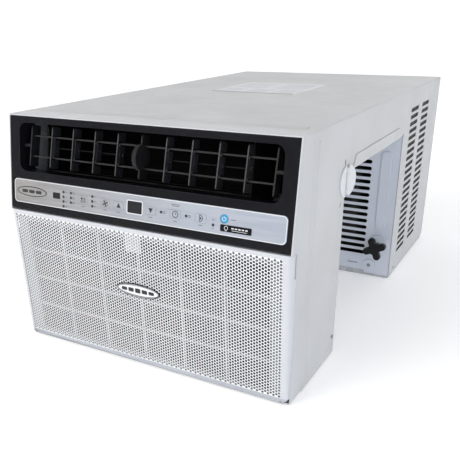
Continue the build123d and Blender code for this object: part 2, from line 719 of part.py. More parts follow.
with BuildPart() as scroll_housing:
    with BuildSketch(Plane.YZ.offset(scroll_low)):
        with BuildLine() as wrap:
            roof = Line((mouth_high[0], DUCT_ROOF), (FRONT + 110, DUCT_ROOF))
            turn = JernArc(start=roof @ 1, tangent=(1, 0), radius=scroll_turn, arc_size=-90)
            ThreePointArc(turn @ 1, (FRONT + 172, 215), (FRONT + 128, 176))
        trace(line_width=CASING)
        with BuildLine():
            Polyline(mouth_low, (FRONT + 80, 269), (FRONT + 65, 244))
        trace(line_width=CASING)
    extrude(amount=scroll_high - scroll_low)
    for x in (scroll_low - CASING, scroll_high):
        with BuildSketch(Plane.YZ.offset(x)):
            with BuildLine():
                Polyline(
                    (FRONT + 128, 176),
                    (FRONT + 65, 176),
                    (FRONT + 65, 244),
                    mouth_low,
                    mouth_high,
                    (mouth_high[0], DUCT_ROOF),
                )
                Line((mouth_high[0], DUCT_ROOF), (FRONT + 110, DUCT_ROOF))
                JernArc(start=(FRONT + 110, DUCT_ROOF), tangent=(1, 0), radius=scroll_turn, arc_size=-90)
                ThreePointArc(
                    (FRONT + 110 + scroll_turn, DUCT_ROOF - scroll_turn),
                    (FRONT + 172, 215),
                    (FRONT + 128, 176),
                )
            make_face()
            with Locations((blower_y, blower_z)):
                Circle(SHAFT_RADIUS + FIT, mode=Mode.SUBTRACT)
        extrude(amount=CASING)
save(scroll_housing.part, "scroll_housing")

# Cross-flow wheel: end discs and curved blades on one shaft
BLADES = 30
with BuildPart() as blower_wheel:
    rod_x(BLOWER_RADIUS, (BLOWER_SPAN[0], BLOWER_SPAN[0] + 3), blower_y, blower_z)
    rod_x(BLOWER_RADIUS, (BLOWER_SPAN[1] - 3, BLOWER_SPAN[1]), blower_y, blower_z)
    with BuildSketch(Plane.YZ.offset(BLOWER_SPAN[0])):
        with Locations((blower_y, blower_z)):
            with PolarLocations(BLOWER_RADIUS - 7.0, BLADES):
                with Locations(Rotation(0, 0, 35)):
                    Rectangle(12.0, 1.2)
    extrude(amount=BLOWER_SPAN[1] - BLOWER_SPAN[0])
    rod_x(SHAFT_RADIUS, (scroll_low - 3 * CASING, scroll_high + 24), blower_y, blower_z)
save(blower_wheel.part, "blower_wheel")

with BuildPart() as blower_motor:
    motor_x = (scroll_high + 10.0, scroll_high + 62.0)
    rod_x(40.0, motor_x, blower_y, blower_z)
    fillet(blower_motor.edges().filter_by(GeomType.CIRCLE), radius=5)
    rod_x(SHAFT_RADIUS + FIT, (motor_x[0] - 1, motor_x[0] + 16), blower_y, blower_z, Mode.SUBTRACT)
    block((motor_x[0] + 12, motor_x[1] - 12), (blower_y - 20, blower_y + 20), (blower_z - 56, blower_z - 38))
save(blower_motor.part, "blower_motor")


def coil(x, y, z, tube_radius, rows, columns):
    """Finned coil: a fin pack with tubes that run out of both ends."""
    stub = 12.0
    with BuildPart() as pack:
        block(x, y, z)
        row_pitch = (z[1] - z[0]) / rows
        column_pitch = (y[1] - y[0]) / columns
        middle = ((y[0] + y[1]) / 2, (z[0] + z[1]) / 2)
        for end, outward in ((x[0], -1), (x[1], 1)):
            with BuildSketch(Plane.YZ.offset(end)) as ends:
                with Locations(middle):
                    with GridLocations(column_pitch, row_pitch, columns, rows):
                        Circle(tube_radius)
            extrude(ends.sketch, amount=outward * stub)
            with BuildSketch(Plane.YZ.offset(end + outward * stub)) as bends:
                with Locations(middle):
                    with GridLocations(column_pitch, 2 * row_pitch, columns, rows // 2):
                        SlotOverall(row_pitch + 2 * tube_radius, 2 * tube_radius, rotation=90)
            extrude(bends.sketch, amount=outward * tube_radius)
    return pack.part


EVAPORATOR_X = (-214.0, 186.0)
EVAPORATOR_Y = (FRONT + 28.0, FRONT + 60.0)
EVAPORATOR_Z = (24.0, 224.0)
CONDENSER_X = (-216.0, 150.0)
CONDENSER_Y = (BACK - 48.0, BACK - 12.0)
CONDENSER_Z = (34.0, 346.0)
save(coil(EVAPORATOR_X, EVAPORATOR_Y, EVAPORATOR_Z, 3.5, 8, 2), "evaporator_coil")
save(coil(CONDENSER_X, CONDENSER_Y, CONDENSER_Z, 3.5, 12, 2), "condenser_coil")

with BuildPart() as drain_pan:
    block((-INNER + 1, INNER - 1), (SURROUND_BACK + GAP + 0.2, INDOOR_BACK - SHEET - GAP), (0, 18.0))
    block((-INNER + 2, INNER - 2), (FRONT + 24.0, SURROUND_BACK + 4), (WALL + GAP, 18.0))
    block((-INNER + 5, INNER - 5), (FRONT + 27.0, INDOOR_BACK - 6.0), (5.5, 30.0), Mode.SUBTRACT)
save(drain_pan.part, "drain_pan")

with BuildPart() as electrical_box:
    box_z = (66.0, 174.0)
    block((196.0, 234.0), (FRONT + 66.0, FRONT + 178.0), box_z)
    hollow_z = (box_z[0] + CASING, box_z[1] - CASING)
    block((198.0, 234.0 + CASING), (FRONT + 68.0, FRONT + 176.0), hollow_z, Mode.SUBTRACT)
    block((198.0, 199.6), (FRONT + 76.0, FRONT + 168.0), (box_z[0] + 8, box_z[1] - 8))
save(electrical_box.part, "electrical_box")

# Insulated copper lines over the sill, side by side
LINE_RADIUS = 6.0
line_high = SILL_HEIGHT + 40.0
with BuildPart() as refrigerant_lines:
    for x, line_low in ((208.0, 36.0), (224.0, 48.0)):
        with BuildLine() as route:
            FilletPolyline(
                (x, FRONT + 44.0, line_low),
                (x, INDOOR_BACK - 12.0, line_low),
                (x, INDOOR_BACK - 12.0, line_high),
                (x, OUTDOOR_FRONT + 34.0, line_high),
                (x, OUTDOOR_FRONT + 34.0, 120.0),
                radius=22.0,
            )
        with BuildSketch(Plane(origin=route.line @ 0, z_dir=route.line % 0)):
            Circle(LINE_RADIUS)
        sweep(path=route.line)
save(refrigerant_lines.part, "refrigerant_lines")

# ---------------------------------------------------------------------------
# Inside the outdoor unit
# ---------------------------------------------------------------------------

fan_x, fan_z = FAN_AT
SHROUD_Y = (BACK - 58.0, BACK - 54.0)
RING_FRONT = BACK - 92.0
FAN_Y = (BACK - 88.0, BACK - 60.0)
RING_GAP = 6.0
with BuildPart() as fan_shroud:
    block((-222.0, 222.0), SHROUD_Y, (PAN_DEPTH + 2.0, TOP_UNDERSIDE - 12.0))
    rod_y(FAN_RADIUS + RING_GAP + 3, fan_x, (RING_FRONT, SHROUD_Y[1]), fan_z)
    rod_y(FAN_RADIUS + RING_GAP, fan_x, (RING_FRONT - 1, SHROUD_Y[1] + 1), fan_z, Mode.SUBTRACT)
save(fan_shroud.part, "fan_shroud")

FAN_BLADES = 5
HUB_RADIUS = 32.0
with BuildPart() as condenser_fan:
    rod_y(HUB_RADIUS, fan_x, FAN_Y, fan_z)
    for blade in range(FAN_BLADES):
        angle = radians(360 / FAN_BLADES * blade)
        spoke = Plane(origin=(fan_x, sum(FAN_Y) / 2, fan_z), x_dir=(0, 1, 0), z_dir=(cos(angle), 0, sin(angle)))
        with BuildSketch(spoke.offset(HUB_RADIUS - 6)):
            Rectangle(3.0, 50.0, rotation=28)
        with BuildSketch(spoke.offset(FAN_RADIUS - 4)):
            Rectangle(2.0, 92.0, rotation=15)
        loft()
    rod_y(SHAFT_RADIUS, fan_x, (FAN_Y[0] - 26, FAN_Y[1]), fan_z)
save(condenser_fan.part, "condenser_fan")

with BuildPart() as fan_motor:
    motor_y = (FAN_Y[0] - 78.0, FAN_Y[0] - 14.0)
    rod_y(42.0, fan_x, motor_y, fan_z)
    fillet(fan_motor.edges().filter_by(GeomType.CIRCLE), radius=4)
    rod_y(SHAFT_RADIUS + FIT, fan_x, (motor_y[1] - 16, motor_y[1] + 1), fan_z, Mode.SUBTRACT)
    bracket_y = (motor_y[0] + 8, motor_y[0] + 28)
    block((fan_x - 12, fan_x + 12), bracket_y, (SHEET + GAP, fan_z - 38))
    block((fan_x - 12, fan_x + 12), bracket_y, (fan_z + 38, TOP_UNDERSIDE - 2))
    block((fan_x - 30, fan_x + 30), bracket_y, (TOP_UNDERSIDE - 5, TOP_UNDERSIDE - 2))
save(fan_motor.part, "fan_motor")

COMPRESSOR_AT = (128.0, OUTDOOR_FRONT + 104.0)
GROMMET_SPOTS = [(COMPRESSOR_AT[0] + dx, COMPRESSOR_AT[1] + dy) for dx, dy in ((-58, 0), (36, 50), (36, -50))]
GROMMET_HEIGHT = 14.0
comp_x, comp_y = COMPRESSOR_AT
foot_low = SHEET + GAP + GROMMET_HEIGHT
with BuildPart() as compressor:
    with BuildSketch(Plane.XY.offset(foot_low)):
        with Locations(COMPRESSOR_AT):
            Circle(58.0)
        for x, y in GROMMET_SPOTS:
            with Locations((x, y)):
                Circle(13.0)
    extrude(amount=4.0)
    rod_z(52.0, comp_x, comp_y, (foot_low, foot_low + 210.0))
    fillet(compressor.edges().group_by(Axis.Z)[-1], radius=22)
    rod_z(24.0, comp_x - 84.0, comp_y - 40.0, (foot_low + 60, foot_low + 200))
    block((comp_x - 84, comp_x), (comp_y - 46, comp_y - 34), (foot_low + 80, foot_low + 92))
    rod_z(4.5, comp_x, comp_y, (foot_low + 200, foot_low + 240))
save(compressor.part, "compressor")

with BuildPart() as compressor_grommets:
    for x, y in GROMMET_SPOTS:
        rod_z(11.0, x, y, (SHEET, foot_low))
save(compressor_grommets.part, "compressor_grommets")

# ---------------------------------------------------------------------------
# Wall bumpers: a screw spindle that slides out of its boss as its four-lobed
# knob is turned
# ---------------------------------------------------------------------------

KNOB_THICKNESS = 9.0
KNOB_LOBE = 13.5
KNOB_TURN = 23.0
KNOB_WEB = 5.0
knob_front = OUTDOOR_FRONT - BUMPER_STANDOFF
THREAD_PITCH = 3.0
THREAD_DEPTH = 0.7


def bumper_spindle(side):
    """Threaded spindle of a wall bumper, with its threads as ridges."""
    x, z = side * BUMPER_AT[0], BUMPER_AT[1]
    reach = (knob_front + 3.0, OUTDOOR_FRONT + 32.0)
    turns = int((reach[1] - reach[0]) / THREAD_PITCH)
    with BuildPart() as spindle:
        rod_y(SPINDLE_RADIUS, x, reach, z)
        for turn in range(turns):
            start = reach[0] + (turn + 0.5) * THREAD_PITCH
            groove = (start, start + THREAD_PITCH / 2)
            with Locations(Location((x, sum(groove) / 2, z), (90, 0, 0))):
                ring = Cylinder(SPINDLE_RADIUS + 1, THREAD_PITCH / 2, mode=Mode.PRIVATE)
                core = Cylinder(SPINDLE_RADIUS - THREAD_DEPTH, THREAD_PITCH, mode=Mode.PRIVATE)
            add(ring - core, mode=Mode.SUBTRACT)
    return spindle.part


def bumper_knob(side):
    """Four-lobed hand knob that bears on the wall."""
    x, z = side * BUMPER_AT[0], BUMPER_AT[1]
    with BuildPart() as knob:
        with BuildSketch(Plane(origin=(x, knob_front, z), x_dir=(1, 0, 0), z_dir=(0, -1, 0))) as cross:
            SlotOverall(KNOB_SPAN, KNOB_LOBE, rotation=KNOB_TURN)
            SlotOverall(KNOB_SPAN, KNOB_LOBE, rotation=90 + KNOB_TURN)
            fillet(cross.vertices().sort_by_distance((0, 0, 0))[:4], radius=KNOB_WEB)
        extrude(amount=-KNOB_THICKNESS)
        fillet(outermost_edges(knob, Plane(origin=(x, knob_front, z), z_dir=(0, -1, 0))), radius=1.5)
        rod_y(9.5, x, (knob_front + 2, knob_front + KNOB_THICKNESS + 7), z)
        rod_y(SPINDLE_RADIUS + FIT, x, (knob_front + 2.9, knob_front + 40), z, Mode.SUBTRACT)
    return knob.part


save(bumper_spindle(-1), "bumper_spindle_left")
save(bumper_spindle(1), "bumper_spindle_right")
save(bumper_knob(-1), "bumper_knob_left")
save(bumper_knob(1), "bumper_knob_right")

# ---------------------------------------------------------------------------
# Side clips at the sill gap: a fixed half disc and a leaf hinged on it
# ---------------------------------------------------------------------------

CLIP_AT = (INDOOR_BACK + 1.0, 282.0)
CLIP_RADIUS = 24.0
CLIP_REACH = 28.0
CLIP_RELIEF = 2.0
LEAF_THICKNESS = 2.0
LEAF_ANGLE = 12.0
HINGE_RADIUS = 2.2
clip_hinge_x = HALF + HINGE_RADIUS + 0.2

with BuildPart() as clip_bases:
    for side in (-1, 1):
        start = HALF if side > 0 else -HALF - CLIP_RELIEF
        with BuildSketch(Plane.YZ.offset(start)):
            with Locations(CLIP_AT):
                Ellipse(CLIP_REACH, CLIP_RADIUS)
                with Locations((CLIP_REACH - 3.2, 0)):
                    Rectangle(2 * CLIP_REACH, 3 * CLIP_RADIUS, mode=Mode.SUBTRACT)
        extrude(amount=CLIP_RELIEF)
        for z in (CLIP_AT[1] - 20, CLIP_AT[1] + 12):
            rod_z(HINGE_RADIUS, side * clip_hinge_x, CLIP_AT[0], (z, z + 8))
            tongue = sorted((side * (HALF + 0.1), side * (clip_hinge_x + 0.5)))
            block(tongue, (CLIP_AT[0] - 4.5, CLIP_AT[0]), (z, z + 8))
        rod_z(1.2, side * clip_hinge_x, CLIP_AT[0], (CLIP_AT[1] - 13, CLIP_AT[1] + 13))
save(clip_bases.part, "clip_bases")


def clip_leaf(side):
    """Leaf of a side clip, standing out from its vertical hinge."""
    angle = radians(LEAF_ANGLE)
    outward = (side * sin(angle), cos(angle), 0)
    middle = (side * clip_hinge_x, CLIP_AT[0], CLIP_AT[1])
    hinge = Plane(origin=middle, x_dir=outward, z_dir=(outward[1], -outward[0], 0))
    with BuildPart() as leaf:
        with BuildSketch(hinge.offset(-LEAF_THICKNESS / 2)):
            Circle(CLIP_RADIUS - 0.5)
            with Locations((HINGE_RADIUS + 1.0 - CLIP_RADIUS, 0)):
                Rectangle(2 * CLIP_RADIUS, 3 * CLIP_RADIUS, mode=Mode.SUBTRACT)
        extrude(amount=LEAF_THICKNESS)
        low, high = CLIP_AT[1] - 11.6, CLIP_AT[1] + 11.6
        rod_z(HINGE_RADIUS, side * clip_hinge_x, CLIP_AT[0], (low, high))
        with BuildSketch(hinge.offset(-0.9)):
            with Locations(((HINGE_RADIUS + 3.0) / 2, 0)):
                Rectangle(HINGE_RADIUS + 3.0, high - low)
        extrude(amount=1.8)
        rod_z(1.2 + FIT, side * clip_hinge_x, CLIP_AT[0], (low - 1, high + 1), Mode.SUBTRACT)
    return leaf.part


save(clip_leaf(-1), "clip_leaf_left")
save(clip_leaf(1), "clip_leaf_right")

# ---------------------------------------------------------------------------
# Cord gland, cabinet screws and rating label
# ---------------------------------------------------------------------------

with BuildPart() as cord_gland:
    rod_y(11.0, -190.0, (INDOOR_BACK, INDOOR_BACK + 3.0), 42.0)
    rod_y(7.3, -190.0, (INDOOR_BACK - 6.0, INDOOR_BACK + 1.0), 42.0)
    rod_y(4.5, -190.0, (INDOOR_BACK - 7.0, INDOOR_BACK + 4.0), 42.0, Mode.SUBTRACT)
save(cord_gland.part, "cord_gland")

SCREW_RADIUS = 3.6
SCREW_PROUD = 1.2
SIDE_SCREW = (188.0, 31.7)
with BuildPart() as cabinet_screws:
    for side in (-1, 1):
        head = sorted((side * HALF, side * (HALF + SCREW_PROUD)))
        rod_x(SCREW_RADIUS, head, FRONT + SIDE_SCREW[0], SIDE_SCREW[1])
        seat = OUTDOOR_FRONT - RIB_RISE
        rod_y(SCREW_RADIUS, side * PANEL_SCREW[0], (seat - SCREW_PROUD, seat), PANEL_SCREW[1])
        for z in (20.0, 358.0):
            rod_y(SCREW_RADIUS, side * 226.0, (BACK, BACK + SCREW_PROUD), z)
save(cabinet_screws.part, "cabinet_screws")

with BuildPart() as top_label:
    block((-102.0, 68.0), (FRONT + 411.0, FRONT + 598.0), (HEIGHT, HEIGHT + 0.2))
save(top_label.part, "top_label")
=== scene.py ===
import json
import math

import bmesh
import bpy
from mathutils import Matrix, Vector


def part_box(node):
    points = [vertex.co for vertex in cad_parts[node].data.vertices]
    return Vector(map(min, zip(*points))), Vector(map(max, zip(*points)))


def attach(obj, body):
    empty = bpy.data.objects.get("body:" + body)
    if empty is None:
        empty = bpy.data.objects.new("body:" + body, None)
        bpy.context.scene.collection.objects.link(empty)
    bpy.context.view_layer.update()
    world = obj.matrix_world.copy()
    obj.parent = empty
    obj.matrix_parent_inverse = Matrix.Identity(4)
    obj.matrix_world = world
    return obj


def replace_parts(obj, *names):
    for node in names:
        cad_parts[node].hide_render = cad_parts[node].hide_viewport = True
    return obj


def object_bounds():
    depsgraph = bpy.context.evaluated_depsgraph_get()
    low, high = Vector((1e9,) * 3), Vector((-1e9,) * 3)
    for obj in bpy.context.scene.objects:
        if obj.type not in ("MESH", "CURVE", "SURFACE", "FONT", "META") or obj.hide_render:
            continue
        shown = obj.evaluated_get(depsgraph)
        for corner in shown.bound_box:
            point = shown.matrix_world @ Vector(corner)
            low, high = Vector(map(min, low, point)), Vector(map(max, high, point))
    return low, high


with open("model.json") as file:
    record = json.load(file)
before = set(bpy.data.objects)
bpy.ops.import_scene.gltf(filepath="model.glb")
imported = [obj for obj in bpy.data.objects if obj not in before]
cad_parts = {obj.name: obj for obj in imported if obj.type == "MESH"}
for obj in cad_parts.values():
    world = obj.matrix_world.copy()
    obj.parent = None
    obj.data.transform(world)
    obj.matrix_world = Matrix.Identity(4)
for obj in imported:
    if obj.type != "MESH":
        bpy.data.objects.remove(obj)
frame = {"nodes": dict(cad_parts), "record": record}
cad_low, cad_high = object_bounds()

MM = 0.001

# ---------------------------------------------------------------------------
# The unit's own dimensions, in millimetres, as the CAD frame has them
# ---------------------------------------------------------------------------

FRONT = cad_low.y / MM
BACK_PLATE = 430.0
OUTDOOR_FRONT = 118.0
HALF = 240.0
TOP = 374.5
EDGE_HEIGHT = 228.0
PANEL_LEAN = math.radians(7.5)
GRILLE_SETBACK = 13.5
SHELL_DEPTH = 15.5
GRILLE_LOW = 3.8


class Face:
    """A flat face of the unit: x across it, a direction up it, and its outward normal."""

    def __init__(self, origin, up, across=(1, 0, 0)):
        self.origin = Vector(origin)
        self.up = Vector(up).normalized()
        self.across = Vector(across).normalized()
        self.normal = self.across.cross(self.up)

    def at(self, x, up, out=0.0):
        """The point at x and up on the face, out millimetres in front of it, in metres."""
        return (self.origin + self.across * x + self.up * up + self.normal * out) * MM


panel = Face((0, FRONT, EDGE_HEIGHT), (0, math.sin(PANEL_LEAN), math.cos(PANEL_LEAN)))
grille = Face((0, FRONT, EDGE_HEIGHT), (0, -GRILLE_SETBACK, EDGE_HEIGHT))
top = Face((0, 0, TOP), (0, 1, 0))


def up_panel(z):
    """Distance up the discharge panel from the front edge to height z."""
    return (z - EDGE_HEIGHT) / math.cos(PANEL_LEAN)


def down_grille(z):
    """Signed distance along the grille's face from its top edge to height z."""
    return (z - EDGE_HEIGHT) * math.hypot(EDGE_HEIGHT, GRILLE_SETBACK) / EDGE_HEIGHT


# ---------------------------------------------------------------------------
# Materials: each is a small node tree, in the part's own coordinates
# ---------------------------------------------------------------------------


class Finish:
    """Builds one material out of noise in object coordinates."""

    def __init__(self, name):
        self.material = bpy.data.materials.new(name)
        self.material.use_nodes = True
        self.tree = self.material.node_tree
        self.shader = self.tree.nodes["Principled BSDF"]
        self.place = self.tree.nodes.new("ShaderNodeTexCoord").outputs["Object"]

    def node(self, kind, **settings):
        made = self.tree.nodes.new(kind)
        for key, value in settings.items():
            setattr(made, key, value)
        return made

    def link(self, source, target):
        self.tree.links.new(source, target)

    def placed(self, stretch):
        mapping = self.node("ShaderNodeMapping")
        mapping.inputs["Scale"].default_value = stretch
        self.link(self.place, mapping.inputs["Vector"])
        return mapping.outputs["Vector"]

    def noise(self, scale, stretch=(1, 1, 1), detail=3.0):
        made = self.node("ShaderNodeTexNoise")
        made.inputs["Scale"].default_value = scale
        made.inputs["Detail"].default_value = detail
        self.link(self.placed(stretch), made.inputs["Vector"])
        return made.outputs["Fac"]

    def cells(self, scale):
        made = self.node("ShaderNodeTexVoronoi")
        made.inputs["Scale"].default_value = scale
        self.link(self.place, made.inputs["Vector"])
        return made.outputs["Color"]

    def wave(self, scale, direction):
        made = self.node("ShaderNodeTexWave", bands_direction=direction)
        made.inputs["Scale"].default_value = scale
        self.link(self.place, made.inputs["Vector"])
        return made.outputs["Fac"]

    def axis(self, name, low, high):
        """0 to 1 along one axis between two places, in metres."""
        split = self.node("ShaderNodeSeparateXYZ")
        self.link(self.place, split.inputs[0])
        return self.ranged(split.outputs[name], 0.0, 1.0, low, high)

    def ranged(self, value, low, high, from_low=0.3, from_high=0.7):
        made = self.node("ShaderNodeMapRange")
        made.inputs["From Min"].default_value = from_low
        made.inputs["From Max"].default_value = from_high
        made.inputs["To Min"].default_value = low
        made.inputs["To Max"].default_value = high
        self.link(value, made.inputs["Value"])
        return made.outputs["Result"]

    def mixed(self, factor, first, second):
        made = self.node("ShaderNodeMix", data_type="RGBA")
        self.link(factor, made.inputs["Factor"])
        for socket, value in ((made.inputs["A"], first), (made.inputs["B"], second)):
            if isinstance(value, tuple):
                socket.default_value = (*value, 1.0)
            else:
                self.link(value, socket)
        return made.outputs["Result"]

    def colour(self, value):
        self.link(value, self.shader.inputs["Base Color"])

    def rough(self, value):
        self.link(value, self.shader.inputs["Roughness"])

    def relief(self, height, strength, distance, edge):
        """Bump from a height, over edges rounded by a radius in metres."""
        bump = self.node("ShaderNodeBump")
        bump.inputs["Strength"].default_value = strength
        bump.inputs["Distance"].default_value = distance
        self.link(height, bump.inputs["Height"])
        if edge:
            bevel = self.node("ShaderNodeBevel", samples=4)
            bevel.inputs["Radius"].default_value = edge
            self.link(bevel.outputs["Normal"], bump.inputs["Normal"])
        self.link(bump.outputs["Normal"], self.shader.inputs["Normal"])

    def constant(self, **values):
        for key, value in values.items():
            self.shader.inputs[key.replace("_", " ")].default_value = value


GRAIN_HEIGHT = 0.0004
FINE_HEIGHT = 0.0002
EDGE_RADIUS = 0.0005


def plain_finish(name, dark, light, rough, grain=900.0, depth=0.05, patch=9.0, edge=0.0006, **values):
    """Colour that drifts between two tones, a roughness range and a fine grain."""
    made = Finish(name)
    made.constant(**values)
    made.colour(made.mixed(made.ranged(made.noise(patch), 0.0, 1.0), dark, light))
    made.rough(made.ranged(made.noise(patch * 4), *rough))
    made.relief(made.noise(grain), depth, GRAIN_HEIGHT, edge)
    return made


# Two tones, a roughness range, and for some a grain, a bump depth or an edge radius in metres
FINISHES = {
    "cabinet_paint": dict(
        dark=(0.45, 0.452, 0.462), light=(0.495, 0.50, 0.515),
        rough=(0.38, 0.5), depth=0.1, edge=0.001,
    ),
    "outdoor_paint": dict(
        dark=(0.54, 0.57, 0.64), light=(0.60, 0.63, 0.70),
        rough=(0.4, 0.52), depth=0.12,
    ),
    "front_white": dict(
        dark=(0.71, 0.72, 0.74), light=(0.76, 0.77, 0.79),
        rough=(0.32, 0.42), depth=0.08,
    ),
    # The grille shell's white is darker and bluer than the sheets' front_white: painted shade on its
    # rounded border
    "shell_white_painted_shade": dict(
        dark=(0.49, 0.505, 0.54), light=(0.53, 0.545, 0.58),
        rough=(0.3, 0.4), depth=0.06, edge=0.0012,
    ),
    # The grey of the band at the grille's foot is painted shade, where the band turns under and away from
    # the light
    "chin_painted_shade": dict(
        dark=(0.36, 0.38, 0.42), light=(0.40, 0.42, 0.46),
        rough=(0.35, 0.45), depth=0.06,
    ),
    # The front plastic's white made greyer than front_white, as painted shade for the surround's sides,
    # which turn away from the key light; the filter's grip behind the holes reuses it
    "white_in_painted_shade": dict(
        dark=(0.44, 0.445, 0.465), light=(0.48, 0.485, 0.505),
        rough=(0.3, 0.4), depth=0.06,
    ),
    "black_gloss": dict(
        dark=(0.004, 0.004, 0.006), light=(0.007, 0.007, 0.009),
        rough=(0.12, 0.2), depth=0.01, Specular_IOR_Level=0.12,
    ),
    "display_glass": dict(
        dark=(0.006, 0.006, 0.008), light=(0.014, 0.014, 0.018),
        rough=(0.1, 0.16), depth=0.01, Specular_IOR_Level=0.25,
    ),
    "lamp": dict(
        dark=(0.02, 0.02, 0.02), light=(0.04, 0.04, 0.04),
        rough=(0.15, 0.22), grain=400.0,
    ),
    "badge": dict(
        dark=(0.36, 0.36, 0.37), light=(0.44, 0.44, 0.45),
        rough=(0.24, 0.32), Metallic=0.7,
    ),
    "filter_plastic": dict(
        dark=(0.24, 0.25, 0.27), light=(0.30, 0.31, 0.33),
        rough=(0.5, 0.62), depth=0.1,
    ),
    "black_satin": dict(
        dark=(0.012, 0.012, 0.014), light=(0.020, 0.020, 0.023),
        rough=(0.3, 0.42), edge=0.0009,
    ),
    "louvre_matte": dict(
        dark=(0.004, 0.004, 0.005), light=(0.007, 0.007, 0.008),
        rough=(0.5, 0.65), edge=0.0, Specular_IOR_Level=0.3,
    ),
    # The parts inside the discharge mouth: their dark plastic, darkened further as painted shade in the
    # mouth
    "mouth_black_painted_shade": dict(
        dark=(0.002, 0.002, 0.002), light=(0.004, 0.004, 0.004),
        rough=(0.6, 0.75), edge=0.0, Specular_IOR_Level=0.15,
    ),
    "motor_steel": dict(
        dark=(0.24, 0.25, 0.26), light=(0.33, 0.34, 0.35),
        rough=(0.36, 0.5), Metallic=0.6,
    ),
    "compressor_paint": dict(
        dark=(0.008, 0.008, 0.008), light=(0.016, 0.016, 0.016),
        rough=(0.26, 0.42), depth=0.2,
    ),
    "rubber_black": dict(
        dark=(0.012, 0.012, 0.012), light=(0.024, 0.024, 0.024),
        rough=(0.62, 0.78), depth=0.25,
    ),
    "copper": dict(
        dark=(0.40, 0.17, 0.09), light=(0.62, 0.30, 0.18),
        rough=(0.26, 0.46), Metallic=1.0, patch=40.0,
    ),
    "knob_charcoal": dict(
        dark=(0.006, 0.006, 0.007), light=(0.010, 0.010, 0.011),
        rough=(0.4, 0.5), depth=0.2, Specular_IOR_Level=0.2,
    ),
    "zinc": dict(
        dark=(0.20, 0.20, 0.19), light=(0.34, 0.34, 0.33),
        rough=(0.26, 0.4), Metallic=1.0, patch=120.0,
    ),
    "clip_white": dict(
        dark=(0.58, 0.59, 0.61), light=(0.64, 0.65, 0.67),
        rough=(0.3, 0.42), depth=0.08,
    ),
    "ink": dict(
        dark=(0.006, 0.006, 0.007), light=(0.012, 0.012, 0.013),
        rough=(0.4, 0.5), edge=0.0,
    ),
    "pale_ink": dict(
        dark=(0.62, 0.63, 0.65), light=(0.72, 0.73, 0.75),
        rough=(0.35, 0.45), edge=0.0,
    ),
    "grey_ink": dict(
        dark=(0.06, 0.06, 0.065), light=(0.09, 0.09, 0.095),
        rough=(0.4, 0.5), edge=0.0,
    ),
    "blue_lens": dict(
        dark=(0.012, 0.22, 0.42), light=(0.02, 0.30, 0.54),
        rough=(0.2, 0.28), depth=0.03,
    ),
    "blue_ink": dict(
        dark=(0.14, 0.17, 0.26), light=(0.20, 0.23, 0.33),
        rough=(0.4, 0.5), edge=0.0,
    ),
}
finishes = {name: plain_finish(name, **values).material for name, values in FINISHES.items()}


def silver_strip():
    """Silver film, brushed along X, with painted reflection: warm and dark at the left end, cool and pale
    at the right.
    """
    made = Finish("silver_strip")
    made.constant(Metallic=0.45)
    # Painted reflection: warm and dark at the left end, cool and pale at the right
    tone = made.mixed(made.axis("X", -0.25, 0.1), (0.20, 0.185, 0.175), (0.31, 0.34, 0.40))
    brushed = (0.05, 1, 1)
    streak = made.ranged(made.noise(260.0, brushed), 0.0, 0.22)
    made.colour(made.mixed(streak, tone, (0.58, 0.58, 0.59)))
    made.rough(made.ranged(made.noise(300.0, brushed), 0.34, 0.46))
    made.relief(made.noise(700.0, (0.04, 1, 1)), 0.05, FINE_HEIGHT, 0.0)
    return made.material


def galvanised():
    """Zinc sheet with spangle about 10 mm across."""
    made = Finish("galvanised")
    made.constant(Metallic=0.9)
    tone = made.node("ShaderNodeRGBToBW")
    made.link(made.cells(95.0), tone.inputs[0])
    made.colour(made.mixed(tone.outputs[0], (0.38, 0.39, 0.41), (0.58, 0.59, 0.61)))
    made.rough(made.ranged(tone.outputs[0], 0.34, 0.52, 0.0, 1.0))
    made.relief(made.noise(500.0), 0.06, GRAIN_HEIGHT, EDGE_RADIUS)
    return made.material


def finned_coil():
    """Aluminium fins 1.6 mm apart, seen edge on, with painted shade in the gaps between them."""
    made = Finish("coil_aluminium")
    made.constant(Metallic=0.6)
    fins = made.wave(98.0, "X")
    # The dark bands are painted shade between the fins; the pale bands are the fins' edges
    made.colour(made.mixed(fins, (0.03, 0.032, 0.035), (0.24, 0.245, 0.255)))
    made.rough(made.ranged(made.noise(60.0), 0.42, 0.58))
    made.relief(fins, 0.6, 0.0008, 0.0)
    return made.material


def circuit_board():
    """Green solder mask with paler tracks."""
    made = Finish("board")
    tracks = made.node("ShaderNodeTexBrick")
    tracks.inputs["Scale"].default_value = 120.0
    tracks.inputs["Mortar Size"].default_value = 0.03
    made.link(made.place, tracks.inputs["Vector"])
    made.colour(made.mixed(tracks.outputs["Fac"], (0.008, 0.07, 0.025), (0.03, 0.16, 0.06)))
    made.rough(made.ranged(made.noise(80.0), 0.25, 0.4))
    made.relief(tracks.outputs["Fac"], 0.2, 0.0003, 0.0004)
    return made.material


def filter_weave():
    """Dark net of the washable filter, threads 1.2 mm apart both ways."""
    made = Finish("filter_weave")
    crossing = made.node("ShaderNodeMath", operation="MAXIMUM")
    made.link(made.wave(131.0, "X"), crossing.inputs[0])
    made.link(made.wave(131.0, "Z"), crossing.inputs[1])
    made.colour(made.mixed(crossing.outputs[0], (0.004, 0.004, 0.005), (0.018, 0.018, 0.020)))
    made.rough(made.ranged(made.noise(90.0), 0.55, 0.7))
    made.relief(crossing.outputs[0], 0.5, 0.0005, 0.0)
    return made.material


def printed_label():
    """Pale film, faintly mottled, slightly glossier than the paint round it."""
    made = Finish("label")
    made.colour(made.mixed(made.noise(14.0), (0.60, 0.61, 0.64), (0.68, 0.69, 0.71)))
    made.rough(made.ranged(made.noise(40.0), 0.42, 0.52))
    made.relief(made.noise(60.0), 0.06, 0.0005, 0.0)
    return made.material


